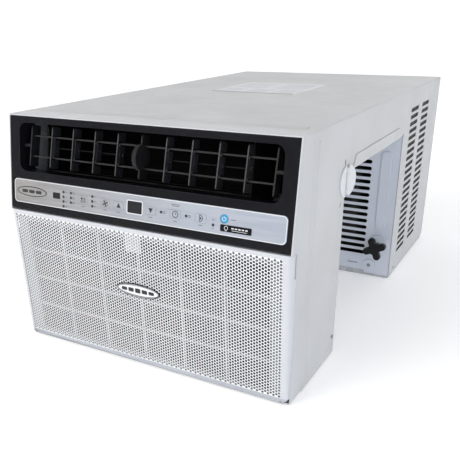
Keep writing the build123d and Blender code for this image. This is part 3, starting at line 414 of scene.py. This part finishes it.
finishes["silver_strip"] = silver_strip()
finishes["galvanised"] = galvanised()
finishes["coil_aluminium"] = finned_coil()
finishes["board"] = circuit_board()
finishes["filter_weave"] = filter_weave()
finishes["label"] = printed_label()

# CAD nodes whose finish isn't the one that their material slot is named after
OTHER_FINISHES = {
    "filter_mesh": "filter_weave",
    # The surround's white plastic takes a greyer copy of front_white, as painted shade
    "front_surround": "white_in_painted_shade",
    "louvre_frame": "louvre_matte",
    # Parts deep in the discharge mouth take painted shade as well as their dark plastic
    "link_bar_left": "mouth_black_painted_shade",
    "link_bar_right": "mouth_black_painted_shade",
    "scroll_housing": "mouth_black_painted_shade",
    "blower_wheel": "mouth_black_painted_shade",
}

for part in frame["record"]["subparts"]:
    node = frame["nodes"][part["node"]]
    chosen = finishes[OTHER_FINISHES.get(part["node"], part["material_slot"])]
    for place in node.material_slots:
        place.material = chosen
    if not node.material_slots:
        node.data.materials.append(chosen)

# ---------------------------------------------------------------------------
# Mesh helpers
# ---------------------------------------------------------------------------


def new_piece(name, points, faces, finish, body):
    """A mesh piece in metres that rides on a body and takes a finish."""
    mesh = bpy.data.meshes.new(name)
    mesh.from_pydata([tuple(point) for point in points], [], faces)
    mesh.materials.append(finishes[finish])
    build = bmesh.new()
    build.from_mesh(mesh)
    bmesh.ops.recalc_face_normals(build, faces=build.faces)
    build.to_mesh(mesh)
    build.free()
    made = bpy.data.objects.new(name, mesh)
    bpy.context.scene.collection.objects.link(made)
    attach(made, body)
    return made


class Slab:
    """Flat outlines on a face, each closed into a solid between two depths."""

    def __init__(self, face, low, high):
        self.face = face
        self.low = low
        self.high = high
        self.points = []
        self.faces = []

    def sheet(self, points, faces):
        """Thicken a flat mesh of (x, up) points, closing every open edge."""
        start = len(self.points)
        count = len(points)
        self.points += [self.face.at(x, up, self.high) for x, up in points]
        self.points += [self.face.at(x, up, self.low) for x, up in points]
        edges = set()
        for ring in faces:
            self.faces.append([start + i for i in ring])
            self.faces.append([start + count + i for i in reversed(ring)])
            edges.update(zip(ring, ring[1:] + ring[:1]))
        for a, b in sorted(edges):
            if (b, a) not in edges:
                self.faces.append([start + b, start + a, start + count + a, start + count + b])

    def outline(self, points):
        self.sheet(points, [list(range(len(points)))])

    def ring(self, outer, inner):
        """The band between two outlines with as many points."""
        n = len(outer)
        self.sheet(outer + inner, [[i, (i + 1) % n, n + (i + 1) % n, n + i] for i in range(n)])

    def stroke(self, points, width):
        """A line of constant width through the points."""
        left, right = [], []
        for i, point in enumerate(points):
            before = Vector(points[max(i - 1, 0)])
            after = Vector(points[min(i + 1, len(points) - 1)])
            side = (after - before).normalized().orthogonal() * (width / 2)
            left.append((point[0] + side.x, point[1] + side.y))
            right.append((point[0] - side.x, point[1] - side.y))
        self.outline(left[::-1] + right)

    def bar(self, x, up, length, width):
        """A horizontal dash centred on x and up."""
        self.stroke([(x - length / 2, up), (x + length / 2, up)], width)

    def piece(self, name, finish, body):
        return new_piece(name, self.points, self.faces, finish, body)


def oval(x, up, half_x, half_up, start=0.0, end=360.0, steps=40):
    """Points of an ellipse, or of part of one, counter-clockwise."""
    whole = end - start >= 360
    count = steps if whole else steps + 1
    angles = [math.radians(start + (end - start) * i / steps) for i in range(count)]
    return [(x + half_x * math.cos(a), up + half_up * math.sin(a)) for a in angles]


def rounded(x, up, width, height, radius, steps=5):
    """Points of a rounded rectangle, counter-clockwise."""
    points = []
    for corner, (sx, sy) in enumerate(((1, 1), (-1, 1), (-1, -1), (1, -1))):
        cx = x + sx * (width / 2 - radius)
        cy = up + sy * (height / 2 - radius)
        points += oval(cx, cy, radius, radius, corner * 90, corner * 90 + 90, steps)
    return points


# ---------------------------------------------------------------------------
# Intake grille: real holes in staggered columns, and the shell round them
# ---------------------------------------------------------------------------

# The perforated sheet; HOLES_ values are on the grille's face
COLUMN_PITCH = 4.2
ROW_PITCH = 4.9
HOLE_RADIUS = 1.95
COLUMNS = 109
ROWS = 43
HOLES_LEFT = -231.0
HOLES_TOP = -6.0
HOLES_RIGHT = HOLES_LEFT + COLUMNS * COLUMN_PITCH
HOLES_LOW = HOLES_TOP - ROWS * ROW_PITCH
SHEET_THICKNESS = 0.5
SHEETS = 4

# The shell: its rounded sides, the finger pulls behind them, and the band at its foot, whose grey is
# painted shade
SHELL_CORNER = 8.0
CORNER_STEPS = 8
SHELL_WALL = 1.9
PULL = (194.0, 227.0)
PULL_DEPTH = 5.0
PULL_EDGE = 0.05
SHELL_MIDDLE = 100.0
CHIN_HIGH = 11.0
CHIN_STEP = 0.8
CHIN_SETBACK = 15.0
CHIN_LIP = 0.3
CHIN_CREASE = 0.3
CHIN_CURVE = 6
CHIN_LEVELS = (5.0, 3.0, 1.5, 0.8, 0.3, 0.0)
FOOT_CORNER = 9.0
WELD_DISTANCE = 0.00002

# Outlines of a cell and a half cell in half columns and quarter rows, from the lower left corner
CELL = [(0, 0), (1, 0), (2, 0), (2, 1), (2, 2), (2, 3), (2, 4), (1, 4), (0, 4), (0, 3), (0, 2), (0, 1)]
HALF_CELL = [(0, 0), (1, 0), (2, 0), (2, 1), (2, 2), (1, 2), (0, 2), (0, 1)]
HOLE_ANGLES = [-120 + 30 * step for step in range(len(CELL))]


def perforated_sheet(first, last):
    """Flat mesh of the columns from first up to last, holes staggered by half a row."""
    points, faces, known = [], [], {}

    def corner(half_column, quarter):
        key = (half_column, quarter)
        if key not in known:
            known[key] = len(points)
            across = HOLES_LEFT + half_column * COLUMN_PITCH / 2
            points.append((across, HOLES_TOP - quarter * ROW_PITCH / 4))
        return known[key]

    for column in range(first, last):
        shift = 2 * (column % 2)
        for row in range(ROWS - column % 2):
            base = 4 * row + shift
            outer = [corner(2 * column + i, base + 4 - j) for i, j in CELL]
            middle = HOLES_LEFT + (column + 0.5) * COLUMN_PITCH
            up = HOLES_TOP - (base + 2) * ROW_PITCH / 4
            inner = []
            for angle in HOLE_ANGLES:
                turn = math.radians(angle)
                inner.append(len(points))
                across = middle + HOLE_RADIUS * math.cos(turn)
                points.append((across, up + HOLE_RADIUS * math.sin(turn)))
            n = len(CELL)
            for i in range(n):
                j = (i + 1) % n
                faces.append([outer[i], outer[j], inner[j], inner[i]])
        if shift:
            for base in (0, 4 * ROWS - 2):
                faces.append([corner(2 * column + i, base + 2 - j) for i, j in HALF_CELL])
    return points, faces


for number in range(SHEETS):
    sheet = Slab(grille, -SHEET_THICKNESS, 0.0)
    first, last = COLUMNS * number // SHEETS, COLUMNS * (number + 1) // SHEETS
    sheet.sheet(*perforated_sheet(first, last))
    made = sheet.piece(f"grille_sheet_{number + 1}", "front_white", "grille")


def shell_section(z):
    """Points of the shell round its two corners at height z, from left rear to right rear."""
    face_y = FRONT + GRILLE_SETBACK * (EDGE_HEIGHT - z) / EDGE_HEIGHT
    rear = FRONT + SHELL_DEPTH
    if z < CHIN_HIGH:
        drop = (CHIN_HIGH - z) / (CHIN_HIGH - GRILLE_LOW)
        face_y += CHIN_STEP
        face_y += drop**CHIN_CURVE * (FRONT + CHIN_SETBACK - face_y)
        rear += drop * (CHIN_SETBACK + CHIN_LIP - SHELL_DEPTH)
    back_y = rear - (PULL_DEPTH if PULL[0] <= z <= PULL[1] else 0.0)
    below = max(0.0, GRILLE_LOW + FOOT_CORNER - z)
    inset = FOOT_CORNER - math.sqrt(FOOT_CORNER**2 - below**2)
    turn = math.acos(max(0.0, (SHELL_CORNER - (rear - face_y)) / SHELL_CORNER))
    side = [(HALF, max(back_y, face_y + SHELL_CORNER))]
    corner_x = HALF - SHELL_CORNER
    if turn < math.pi / 2:
        side = [(corner_x + SHELL_CORNER * math.sin(turn), rear)]
    for step in range(CORNER_STEPS, -1, -1):
        a = turn * step / CORNER_STEPS
        x = corner_x + SHELL_CORNER * math.sin(a)
        side.append((x, face_y + SHELL_CORNER * (1 - math.cos(a))))
    left = [(inset - x, y, z) for x, y in side]
    right = [(x - inset, y, z) for x, y in reversed(side)]
    return left + [(HOLES_LEFT, face_y, z), (HOLES_RIGHT, face_y, z)] + right


def grille_shell():
    """The grille's border, its corners, side walls, top and bottom."""
    z_of = EDGE_HEIGHT / math.hypot(EDGE_HEIGHT, GRILLE_SETBACK)
    window_top = EDGE_HEIGHT + HOLES_TOP * z_of
    window_low = EDGE_HEIGHT + HOLES_LOW * z_of
    levels = [EDGE_HEIGHT, PULL[1] + PULL_EDGE, PULL[1], window_top]
    levels += [PULL[0], PULL[0] - PULL_EDGE, SHELL_MIDDLE, window_low]
    levels += [CHIN_HIGH, CHIN_HIGH - CHIN_CREASE]
    levels += [GRILLE_LOW + step for step in CHIN_LEVELS]
    sections = [shell_section(z) for z in levels]
    width = len(sections[0])
    points = [Vector(point) * MM for section in sections for point in section]
    faces = []
    open_column = width // 2 - 1
    for level in range(len(levels) - 1):
        in_window = levels[level] <= window_top and levels[level + 1] >= window_low
        for i in range(width - 1):
            if not (in_window and i == open_column):
                start = level * width + i
                faces.append([start, start + 1, start + width + 1, start + width])
    faces.append(list(range(width)))
    last = (len(levels) - 1) * width
    faces.append([last + i for i in reversed(range(width))])
    # The shell takes a darker, bluer white than the sheets, as painted shade
    made = new_piece("grille_shell", points, faces, "shell_white_painted_shade", "grille")
    # Faces below the chin's top take the band's grey, which is painted shade
    made.data.materials.append(finishes["chin_painted_shade"])
    build = bmesh.new()
    build.from_mesh(made.data)
    for face in build.faces:
        if all(vert.co.z < (CHIN_HIGH + CHIN_CREASE) * MM for vert in face.verts):
            face.material_index = 1
    bmesh.ops.remove_doubles(build, verts=build.verts, dist=WELD_DISTANCE)
    build.to_mesh(made.data)
    build.free()
    wall = made.modifiers.new("wall", "SOLIDIFY")
    wall.thickness = SHELL_WALL * MM
    wall.offset = -1
    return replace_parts(made, "intake_grille")


grille_shell()

# The filter's seat: outer and inner edges as left, low, right and top on the grille's face
SEAT_DEPTH = (3.4, 5.6)
SEAT_OUTER = (-231, -219, 229, -3.5)
SEAT_INNER = (-212.6, -213.6, 212.6, -14.4)


def square(left, low, right, high):
    """Corners of a plain rectangle."""
    return [(left, high), (left, low), (right, low), (right, high)]


seat = Slab(grille, -SEAT_DEPTH[1], -SEAT_DEPTH[0])
seat.ring(square(*SEAT_OUTER), square(*SEAT_INNER))
seat.piece("filter_seat", "filter_plastic", "grille")

# The filter's pale grip shows through the holes at the top of the grille
GRIP_DEPTH = (1.5, 2.9)
GRIP_AT = (-6.0, -22.0)
GRIP_SIZE = (28.0, 30.0)
grip = Slab(grille, -GRIP_DEPTH[1], -GRIP_DEPTH[0])
grip.outline(rounded(*GRIP_AT, *GRIP_SIZE, 3.0))
grip.piece("filter_grip", "white_in_painted_shade", "grille")

# The oval badge in the middle of the grille: a bright rim on a dark base, round a pale lens
BADGE_AT = (-2.4, down_grille(131.0))
OVAL_STEPS = 64
BADGE_TABS = 5
TAB_PITCH = 12.0
badge_rim = Slab(grille, 0.0, 1.5)
badge_rim.ring(oval(*BADGE_AT, 37.6, 9.7, steps=OVAL_STEPS), oval(*BADGE_AT, 36.4, 8.6, steps=OVAL_STEPS))
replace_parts(badge_rim.piece("front_badge_rim", "badge", "grille"), "front_badge")
badge_base = Slab(grille, 0.0, 0.9)
badge_base.outline(oval(*BADGE_AT, 39, 11, steps=OVAL_STEPS))
badge_base.piece("front_badge_base", "black_gloss", "grille")
badge_lens = Slab(grille, 0.8, 1.2)
badge_lens.outline(oval(*BADGE_AT, 35.4, 7.6, steps=OVAL_STEPS))
badge_lens.piece("front_badge_lens", "pale_ink", "grille")
badge_marks = Slab(grille, 1.1, 1.35)
for tab in range(BADGE_TABS):
    step = tab - BADGE_TABS // 2
    badge_marks.outline(rounded(BADGE_AT[0] + TAB_PITCH * step, BADGE_AT[1], 9.6, 7.4 - abs(step), 1.6))
badge_marks.piece("front_badge_marks", "ink", "grille")

# ---------------------------------------------------------------------------
# Control strip: printed icons, displays' rims, badges and captions
# ---------------------------------------------------------------------------

KEY_ROW = up_panel(259.0)
KEYS = {"mode": -92.5, "fan": -51.8, "up": -27.9, "down": 27.0, "timer": 67.2, "eco": 106.7}
POWER = (141.9, up_panel(263.0))

# Heights of the faces above the panel's own plane, and the depth that print stands and sinks
STRIP_FACE = 0.4
KEY_FACE = 0.5
INK = 0.08

# Widths and steps of the printed lines and curves
ICON_LINE = 0.9
POWER_LINE = 0.7
DASH = 0.8
ICON_STEPS = 20
LAMP_STEPS = 24


def mode_icon(slab, x, up):
    for dx, dy in ((-2.6, -2.1), (2.6, 2.1), (2.6, -2.1)):
        outer = oval(x + dx, up + dy, 1.9, 1.9, steps=ICON_STEPS)
        slab.ring(outer, oval(x + dx, up + dy, 1.1, 1.1, steps=ICON_STEPS))
    slab.outline(oval(x - 2.6, up + 2.1, 1.8, 1.8, steps=ICON_STEPS))


def fan_icon(slab, x, up):
    reach = 2.3
    for angle in range(0, 360, 90):
        turn = math.radians(angle + 25)
        cos, sin = math.cos(turn), math.sin(turn)
        cx, cy = x + reach * cos, up + reach * sin
        petal = oval(0, 0, 2.0, 1.1, steps=ICON_STEPS)
        slab.outline([(cx + p * cos - q * sin, cy + p * sin + q * cos) for p, q in petal])
    slab.ring(oval(x, up, 5.0, 5.0), oval(x, up, 4.5, 4.5))


ARROW_HALF = 3.7
ARROW_BASE = 3.2
ARROW_TIP = 3.6


def up_icon(slab, x, up):
    base = up - ARROW_BASE
    slab.outline([(x - ARROW_HALF, base), (x + ARROW_HALF, base), (x, up + ARROW_TIP)])


def down_icon(slab, x, up):
    base = up + ARROW_BASE
    slab.outline([(x - ARROW_HALF, base), (x, up - ARROW_TIP), (x + ARROW_HALF, base)])


def timer_icon(slab, x, up):
    slab.ring(oval(x, up, 4.8, 4.8), oval(x, up, 3.8, 3.8))
    slab.stroke([(x, up + 2.6), (x, up), (x + 1.9, up)], ICON_LINE)


def eco_icon(slab, x, up):
    spine = x - 1.6
    slab.stroke(oval(spine, up, 4.6, 4.4, -90, 90, ICON_STEPS), ICON_LINE)
    slab.stroke([(spine, up + 4.6), (spine, up - 4.6)], ICON_LINE)
    slab.outline(oval(x + 0.2, up - 0.2, 1.0, 1.7, steps=ICON_STEPS))


ICONS = {
    "mode": mode_icon,
    "fan": fan_icon,
    "up": up_icon,
    "down": down_icon,
    "timer": timer_icon,
    "eco": eco_icon,
}
for name, draw in ICONS.items():
    slab = Slab(panel, KEY_FACE - INK, KEY_FACE + INK)
    draw(slab, KEYS[name], KEY_ROW)
    slab.piece(f"icon_{name}", "ink", f"key_{name}")

lens = Slab(panel, KEY_FACE - INK, KEY_FACE + 0.12)
lens.outline(oval(*POWER, 5.9, 5.9, steps=48))
lens.piece("power_lens", "blue_lens", "key_power")
power_icon = Slab(panel, KEY_FACE + 0.1, KEY_FACE + 0.2)
power_icon.stroke(oval(*POWER, 2.7, 2.7, 125, 415, 30), POWER_LINE)
power_icon.stroke([(POWER[0], POWER[1] + 3.2), (POWER[0], POWER[1] + 0.6)], POWER_LINE)
power_icon.piece("icon_power", "pale_ink", "key_power")

# Bright rims round the large display and round the whole strip
DISPLAY_MIDDLE = up_panel(259.8)
STRIP_LOW = up_panel(241.0)
STRIP_HIGH = up_panel(278.0)
STRIP_MIDDLE = (STRIP_LOW + STRIP_HIGH) / 2
STRIP_SPAN = STRIP_HIGH - STRIP_LOW
rims = Slab(panel, STRIP_FACE - 0.1, STRIP_FACE + 0.25)
rims.ring(
    rounded(0.0, DISPLAY_MIDDLE, 27.3, 19.8, 2.4),
    rounded(0.0, DISPLAY_MIDDLE, 24.9, 17.4, 1.6),
)
rims.ring(
    rounded(0.0, STRIP_MIDDLE, 459.0, STRIP_SPAN - 1.0, 6.0),
    rounded(0.0, STRIP_MIDDLE, 457.2, STRIP_SPAN - 2.8, 5.2),
)
rims.piece("strip_rims", "pale_ink", "chassis")

# Ink rings the lamps. Captions are short generic dashes, beside the lamps and under the keys
LAMPS = {
    -130.2: (266.5, 259.4, 252.3, 245.2),
    -115.9: (266.5, 259.4, 252.3),
    -75.5: (266.2, 259.1, 252.0),
    44.3: (259.0,),
    84.4: (259.0,),
}
TWO_LINES = (-115.9, 44.3, 84.4)
SIGNAL_X = 126.0
SIGNAL_LAMP = up_panel(252.7)
SIGNAL_ARCS = up_panel(257.6)
LAMP_RING = 2.1
LAMP_HOLE = 1.4
captions = Slab(panel, STRIP_FACE - INK, STRIP_FACE + INK)
lamp_rings = Slab(panel, STRIP_FACE - INK, STRIP_FACE + INK)
for x, heights in LAMPS.items():
    for z in heights:
        up = up_panel(z)
        lamp_rings.ring(
            oval(x, up, LAMP_RING, LAMP_RING, steps=LAMP_STEPS),
            oval(x, up, LAMP_HOLE, LAMP_HOLE, steps=LAMP_STEPS),
        )
        for line in (1.0, -1.0) if x in TWO_LINES else (0.0,):
            captions.bar(x + 5.0, up + line, 4.6, DASH)
for x in KEYS.values():
    captions.bar(x, KEY_ROW - 9.6, 6.2, DASH)
captions.bar(POWER[0] + 13.0, POWER[1], 7.5, 0.9)
for line, length in ((13.2, 14.0), (11.2, 11.0)):
    captions.bar(KEYS["timer"], KEY_ROW + line, length, DASH)
lamp_rings.outline(oval(SIGNAL_X, SIGNAL_LAMP, LAMP_RING, LAMP_RING, steps=LAMP_STEPS))
lamp_rings.piece("lamp_rings", "ink", "chassis")
captions.bar(SIGNAL_X, SIGNAL_LAMP - 4.4, 3.6, DASH)
for radius in (1.6, 2.8):
    captions.stroke(oval(SIGNAL_X, SIGNAL_ARCS, radius, radius, 45, 135, 10), 0.5)
captions.piece("strip_captions", "grey_ink", "chassis")

# The oval mark at the left end: a printed ring round three plain tabs
OVAL_AT = (-193.5, up_panel(260.0))
oval_base = Slab(panel, STRIP_FACE, STRIP_FACE + 0.5)
oval_base.outline(oval(*OVAL_AT, 30.3, 7.9, steps=OVAL_STEPS))
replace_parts(oval_base.piece("oval_plate", "silver_strip", "chassis"), "fascia_badges")
oval_marks = Slab(panel, STRIP_FACE + 0.45, STRIP_FACE + 0.6)
oval_marks.ring(oval(*OVAL_AT, 30.2, 7.8, steps=OVAL_STEPS), oval(*OVAL_AT, 28.6, 6.4, steps=OVAL_STEPS))
for step in (-1, 0, 1):
    oval_marks.outline(rounded(OVAL_AT[0] + 14 * step, OVAL_AT[1], 11.5, 5.0, 1.4))
oval_marks.piece("oval_marks", "ink", "chassis")

# The dark tag under the power key: a bulb, then a row of tabs over a line
TAG_AT = (159.5, up_panel(251.0))
BULB_X = TAG_AT[0] - 14
tag = Slab(panel, STRIP_FACE, STRIP_FACE + 0.6)
tag.outline(rounded(*TAG_AT, 45.0, 9.2, 1.5))
tag.piece("tag_plate", "black_gloss", "chassis")
tag_marks = Slab(panel, STRIP_FACE + 0.5, STRIP_FACE + 0.7)
tag_marks.ring(oval(BULB_X, TAG_AT[1] + 0.4, 2.7, 2.9), oval(BULB_X, TAG_AT[1] + 0.4, 2.1, 2.3))
tag_marks.bar(BULB_X, TAG_AT[1] - 3.2, 2.0, DASH)
for step in range(5):
    tag_marks.bar(TAG_AT[0] - 4.5 + 5.0 * step, TAG_AT[1] + 0.9, 3.4, 1.5)
tag_marks.bar(TAG_AT[0] + 5.5, TAG_AT[1] - 2.0, 22.0, 0.5)
tag_marks.piece("tag_marks", "pale_ink", "chassis")

# ---------------------------------------------------------------------------
# Louvre thumb wheel with a knurled rim
# ---------------------------------------------------------------------------

LOUVRE_BAR = FRONT + 26.0
LOUVRE_LOW = 290.5
LOUVRE_HIGH = 362.7
PIVOT = Vector((0.0, LOUVRE_BAR - 1.5, (LOUVRE_LOW + LOUVRE_HIGH) / 2))
WHEEL_RADIUS = 18.0
TEETH = 60
TOOTH_TIP = 0.45
TOOTH_ROOT = -0.25
WHEEL_HALF = 3.4
CHAMFER_ALONG = 0.7
CHAMFER_IN = 0.9
FLAT_HALF = WHEEL_HALF - CHAMFER_ALONG
WHEEL_RINGS = ((-WHEEL_HALF, CHAMFER_IN), (-FLAT_HALF, 0.0), (FLAT_HALF, 0.0), (WHEEL_HALF, CHAMFER_IN))
wheel_points, wheel_faces = [], []
around = 2 * TEETH
for x, shrink in WHEEL_RINGS:
    for step in range(around):
        turn = math.pi * step / TEETH
        reach = WHEEL_RADIUS + (TOOTH_TIP if step % 2 else TOOTH_ROOT) - shrink
        point = PIVOT + Vector((x, reach * math.cos(turn), reach * math.sin(turn)))
        wheel_points.append(point * MM)
for band in range(len(WHEEL_RINGS) - 1):
    for step in range(around):
        other = (step + 1) % around
        a, b = band * around, (band + 1) * around
        wheel_faces.append([a + step, a + other, b + other, b + step])
wheel_faces.append(list(range(around)))
wheel_faces.append([3 * around + step for step in reversed(range(around))])
thumb_wheel = new_piece("thumb_wheel", wheel_points, wheel_faces, "louvre_matte", "louvre")

# ---------------------------------------------------------------------------
# Cross-recessed screws
# ---------------------------------------------------------------------------

SCREW_RADIUS = 3.6
SCREW_PROUD = 1.2
CROSS_HALF = 0.5
CROSS_REACH = 2.3
CROSS_DEPTH = 0.8
RINGS = 14
SPOKES = 56

# Places in height, and along or across the unit, where the screws sit
SIDE_SCREW = (FRONT + 188.0, 31.7)
FRONT_SCREW = (198.0, OUTDOOR_FRONT - 2.0, 23.7)
BACK_SCREW_X = 226.0
BACK_SCREW_HEIGHTS = (20.0, 358.0)


def screw(points, faces, seat, outward):
    """Add one pan head with a cross recess, standing on a seat along an outward axis."""
    outward = Vector(outward)
    side = outward.orthogonal().normalized()
    across = outward.cross(side)
    start = len(points)
    for ring in range(RINGS + 1):
        reach = SCREW_RADIUS * (ring + 0.5) / (RINGS + 0.5)
        for spoke in range(SPOKES):
            turn = 2 * math.pi * spoke / SPOKES
            a, b = reach * math.cos(turn), reach * math.sin(turn)
            dome = SCREW_PROUD * math.sqrt(max(0.0, 1 - (reach / (SCREW_RADIUS * 1.03)) ** 4))
            in_cross = min(abs(a), abs(b)) < CROSS_HALF and reach < CROSS_REACH
            height = dome - (CROSS_DEPTH if in_cross else 0.0)
            points.append((Vector(seat) + side * a + across * b + outward * height) * MM)
    for ring in range(RINGS):
        for spoke in range(SPOKES):
            other = (spoke + 1) % SPOKES
            a, b = start + ring * SPOKES, start + (ring + 1) * SPOKES
            faces.append([a + spoke, a + other, b + other, b + spoke])
    faces.append([start + spoke for spoke in reversed(range(SPOKES))])
    rim = start + RINGS * SPOKES
    foot = len(points)
    for spoke in range(SPOKES):
        turn = 2 * math.pi * spoke / SPOKES
        flat = side * math.cos(turn) + across * math.sin(turn)
        points.append((Vector(seat) + flat * SCREW_RADIUS) * MM)
    for spoke in range(SPOKES):
        other = (spoke + 1) % SPOKES
        faces.append([rim + spoke, rim + other, foot + other, foot + spoke])
    faces.append([foot + spoke for spoke in range(SPOKES)])


screw_points, screw_faces = [], []
for side in (-1, 1):
    screw(screw_points, screw_faces, (side * HALF, *SIDE_SCREW), (side, 0, 0))
    screw(screw_points, screw_faces, (side * FRONT_SCREW[0], *FRONT_SCREW[1:]), (0, -1, 0))
    for height in BACK_SCREW_HEIGHTS:
        screw(screw_points, screw_faces, (side * BACK_SCREW_X, BACK_PLATE, height), (0, 1, 0))
screws = new_piece("screw_heads", screw_points, screw_faces, "zinc", "chassis")
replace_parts(screws, "cabinet_screws")

# ---------------------------------------------------------------------------
# Dark sheets just inside the outdoor unit's side slots: painted shade for the dark inside behind them
# ---------------------------------------------------------------------------

SHADE_SHEET_DEPTH = (2.6, 3.6)
SHADE_SHEET_MIDDLE = (248.0, 191.0)
SHADE_SHEET_SIZE = (178.0, 318.0)
for side, name in ((-1, "left"), (1, "right")):
    wall = Face((side * HALF, 0, 0), (0, 0, 1), (0, side, 0))
    shade_sheet = Slab(wall, -SHADE_SHEET_DEPTH[1], -SHADE_SHEET_DEPTH[0])
    shade_sheet.outline(rounded(side * SHADE_SHEET_MIDDLE[0], SHADE_SHEET_MIDDLE[1], *SHADE_SHEET_SIZE, 6.0))
    # The filter's dark weave serves here as painted shade
    shade_sheet.piece(f"side_shade_sheet_{name}", "filter_weave", "chassis")

# ---------------------------------------------------------------------------
# Print on the label: generic rules and boxes
# ---------------------------------------------------------------------------

label_low, label_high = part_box("top_label")
label_left, label_right = label_low.x / MM, label_high.x / MM
label_front, label_rear = label_low.y / MM, label_high.y / MM
label_width = label_right - label_left
PRINT_FACES = (0.15, 0.26)
MARGIN = 10
RULES = 12
RULE_PITCH = 7.5
BOXES = 3
BOX_RULES = 5
BOX_RULE_PITCH = 8
print_marks = Slab(top, *PRINT_FACES)
for line in range(RULES):
    y = label_rear - 18.0 - line * RULE_PITCH
    length = label_width * (0.34 if line % 4 == 3 else 0.42)
    print_marks.bar(label_left + MARGIN + length / 2, y, length, 1.0)
    print_marks.bar(label_right - MARGIN - length / 2, y, length, 1.0)
for column in range(BOXES):
    x = label_left + label_width * (column + 0.5) / BOXES
    y = label_front + 44.0
    print_marks.ring(rounded(x, y, 44, 52, 2), rounded(x, y, 42, 50, 1.4))
    for line in range(BOX_RULES):
        print_marks.bar(x, y + 16 - BOX_RULE_PITCH * line, 30, 1.2)
print_marks.piece("label_print", "blue_ink", "chassis")
label_edge = Slab(top, *PRINT_FACES)
label_edge.bar((label_left + label_right) / 2, label_front + 6.0, label_width - 4.0, 8.0)
label_edge.piece("label_edge", "grey_ink", "chassis")

# ---------------------------------------------------------------------------
# Stage: a pale floor that curves up all round, soft lights and the camera
# ---------------------------------------------------------------------------

# In metres from here on
FLOOR_CENTRE = 0.001
FLOOR_RADIUS = 4.0
RIM_RADIUS = 2.0
RIM_STEPS = 16
WALL_TOP = 4.0
SEGMENTS = 96
profile = [(FLOOR_CENTRE, 0.0), (FLOOR_RADIUS, 0.0)]
for step in range(1, RIM_STEPS + 1):
    angle = math.radians(90 * step / RIM_STEPS)
    profile.append((FLOOR_RADIUS + RIM_RADIUS * math.sin(angle), RIM_RADIUS * (1 - math.cos(angle))))
profile.append((FLOOR_RADIUS + RIM_RADIUS, WALL_TOP))
floor_points = []
for reach, height in profile:
    for step in range(SEGMENTS):
        turn = 2 * math.pi * step / SEGMENTS
        floor_points.append((reach * math.cos(turn), reach * math.sin(turn), height + cad_low.z))
floor_faces = []
for row in range(len(profile) - 1):
    for step in range(SEGMENTS):
        other = (step + 1) % SEGMENTS
        a, b = row * SEGMENTS, (row + 1) * SEGMENTS
        floor_faces.append([a + step, a + other, b + other, b + step])
floor_mesh = bpy.data.meshes.new("floor")
floor_mesh.from_pydata(floor_points, [], floor_faces)
for face in floor_mesh.polygons:
    face.use_smooth = True
floor = bpy.data.objects.new("floor", floor_mesh)
bpy.context.scene.collection.objects.link(floor)
paper = plain_finish(
    "studio_floor",
    dark=(0.88, 0.88, 0.88),
    light=(0.90, 0.90, 0.90),
    rough=(0.8, 0.9),
    patch=1.5,
    edge=0.0,
)
paper.constant(Emission_Color=(0.97, 0.985, 1.0, 1.0), Emission_Strength=0.27)
floor_mesh.materials.append(paper.material)

world = bpy.data.worlds.new("studio")
bpy.context.scene.world = world
world.use_nodes = True
background = world.node_tree.nodes["Background"]
background.inputs["Color"].default_value = (0.985, 0.985, 0.985, 1.0)
background.inputs["Strength"].default_value = 0.56


def soft_light(name, place, target, size, power, colour):
    lamp = bpy.data.lights.new(name, "AREA")
    lamp.shape = "DISK"
    lamp.size = size
    lamp.energy = power
    lamp.color = colour
    made = bpy.data.objects.new(name, lamp)
    bpy.context.scene.collection.objects.link(made)
    made.location = place
    made.rotation_euler = (Vector(target) - Vector(place)).to_track_quat("-Z", "Y").to_euler()


soft_light("key", (-1.5, -2.9, 2.2), (0, -0.2, 0.2), 2.4, 70, (1.0, 0.965, 0.92))
soft_light("fill", (2.7, -2.3, 0.9), (0.1, 0, 0.15), 2.0, 26, (0.74, 0.86, 1.0))
soft_light("rear", (0.5, 3.2, 2.4), (0, 0, 0.2), 2.4, 12, (1.0, 0.985, 0.965))

CAMERA_AT = Vector((0.5096, -1.1354, 0.5079))
CAMERA_RIGHT = Vector((0.86196, 0.50672, -0.01626))
CAMERA_AHEAD = Vector((-0.47549, 0.79688, -0.37267))
camera_data = bpy.data.cameras.new("camera")
camera_data.lens = 50.0
camera_data.sensor_width = 36.0
camera_data.shift_x = 0.0903
camera_data.shift_y = 0.0953
camera_data.clip_start = 0.01
camera = bpy.data.objects.new("camera", camera_data)
bpy.context.scene.collection.objects.link(camera)
CAMERA_UP = CAMERA_RIGHT.cross(CAMERA_AHEAD)
turned = Matrix((CAMERA_RIGHT, CAMERA_UP, -CAMERA_AHEAD)).transposed()
camera.matrix_world = Matrix.Translation(CAMERA_AT) @ turned.to_4x4()
bpy.context.scene.camera = camera
bpy.context.scene.view_settings.view_transform = "Standard"
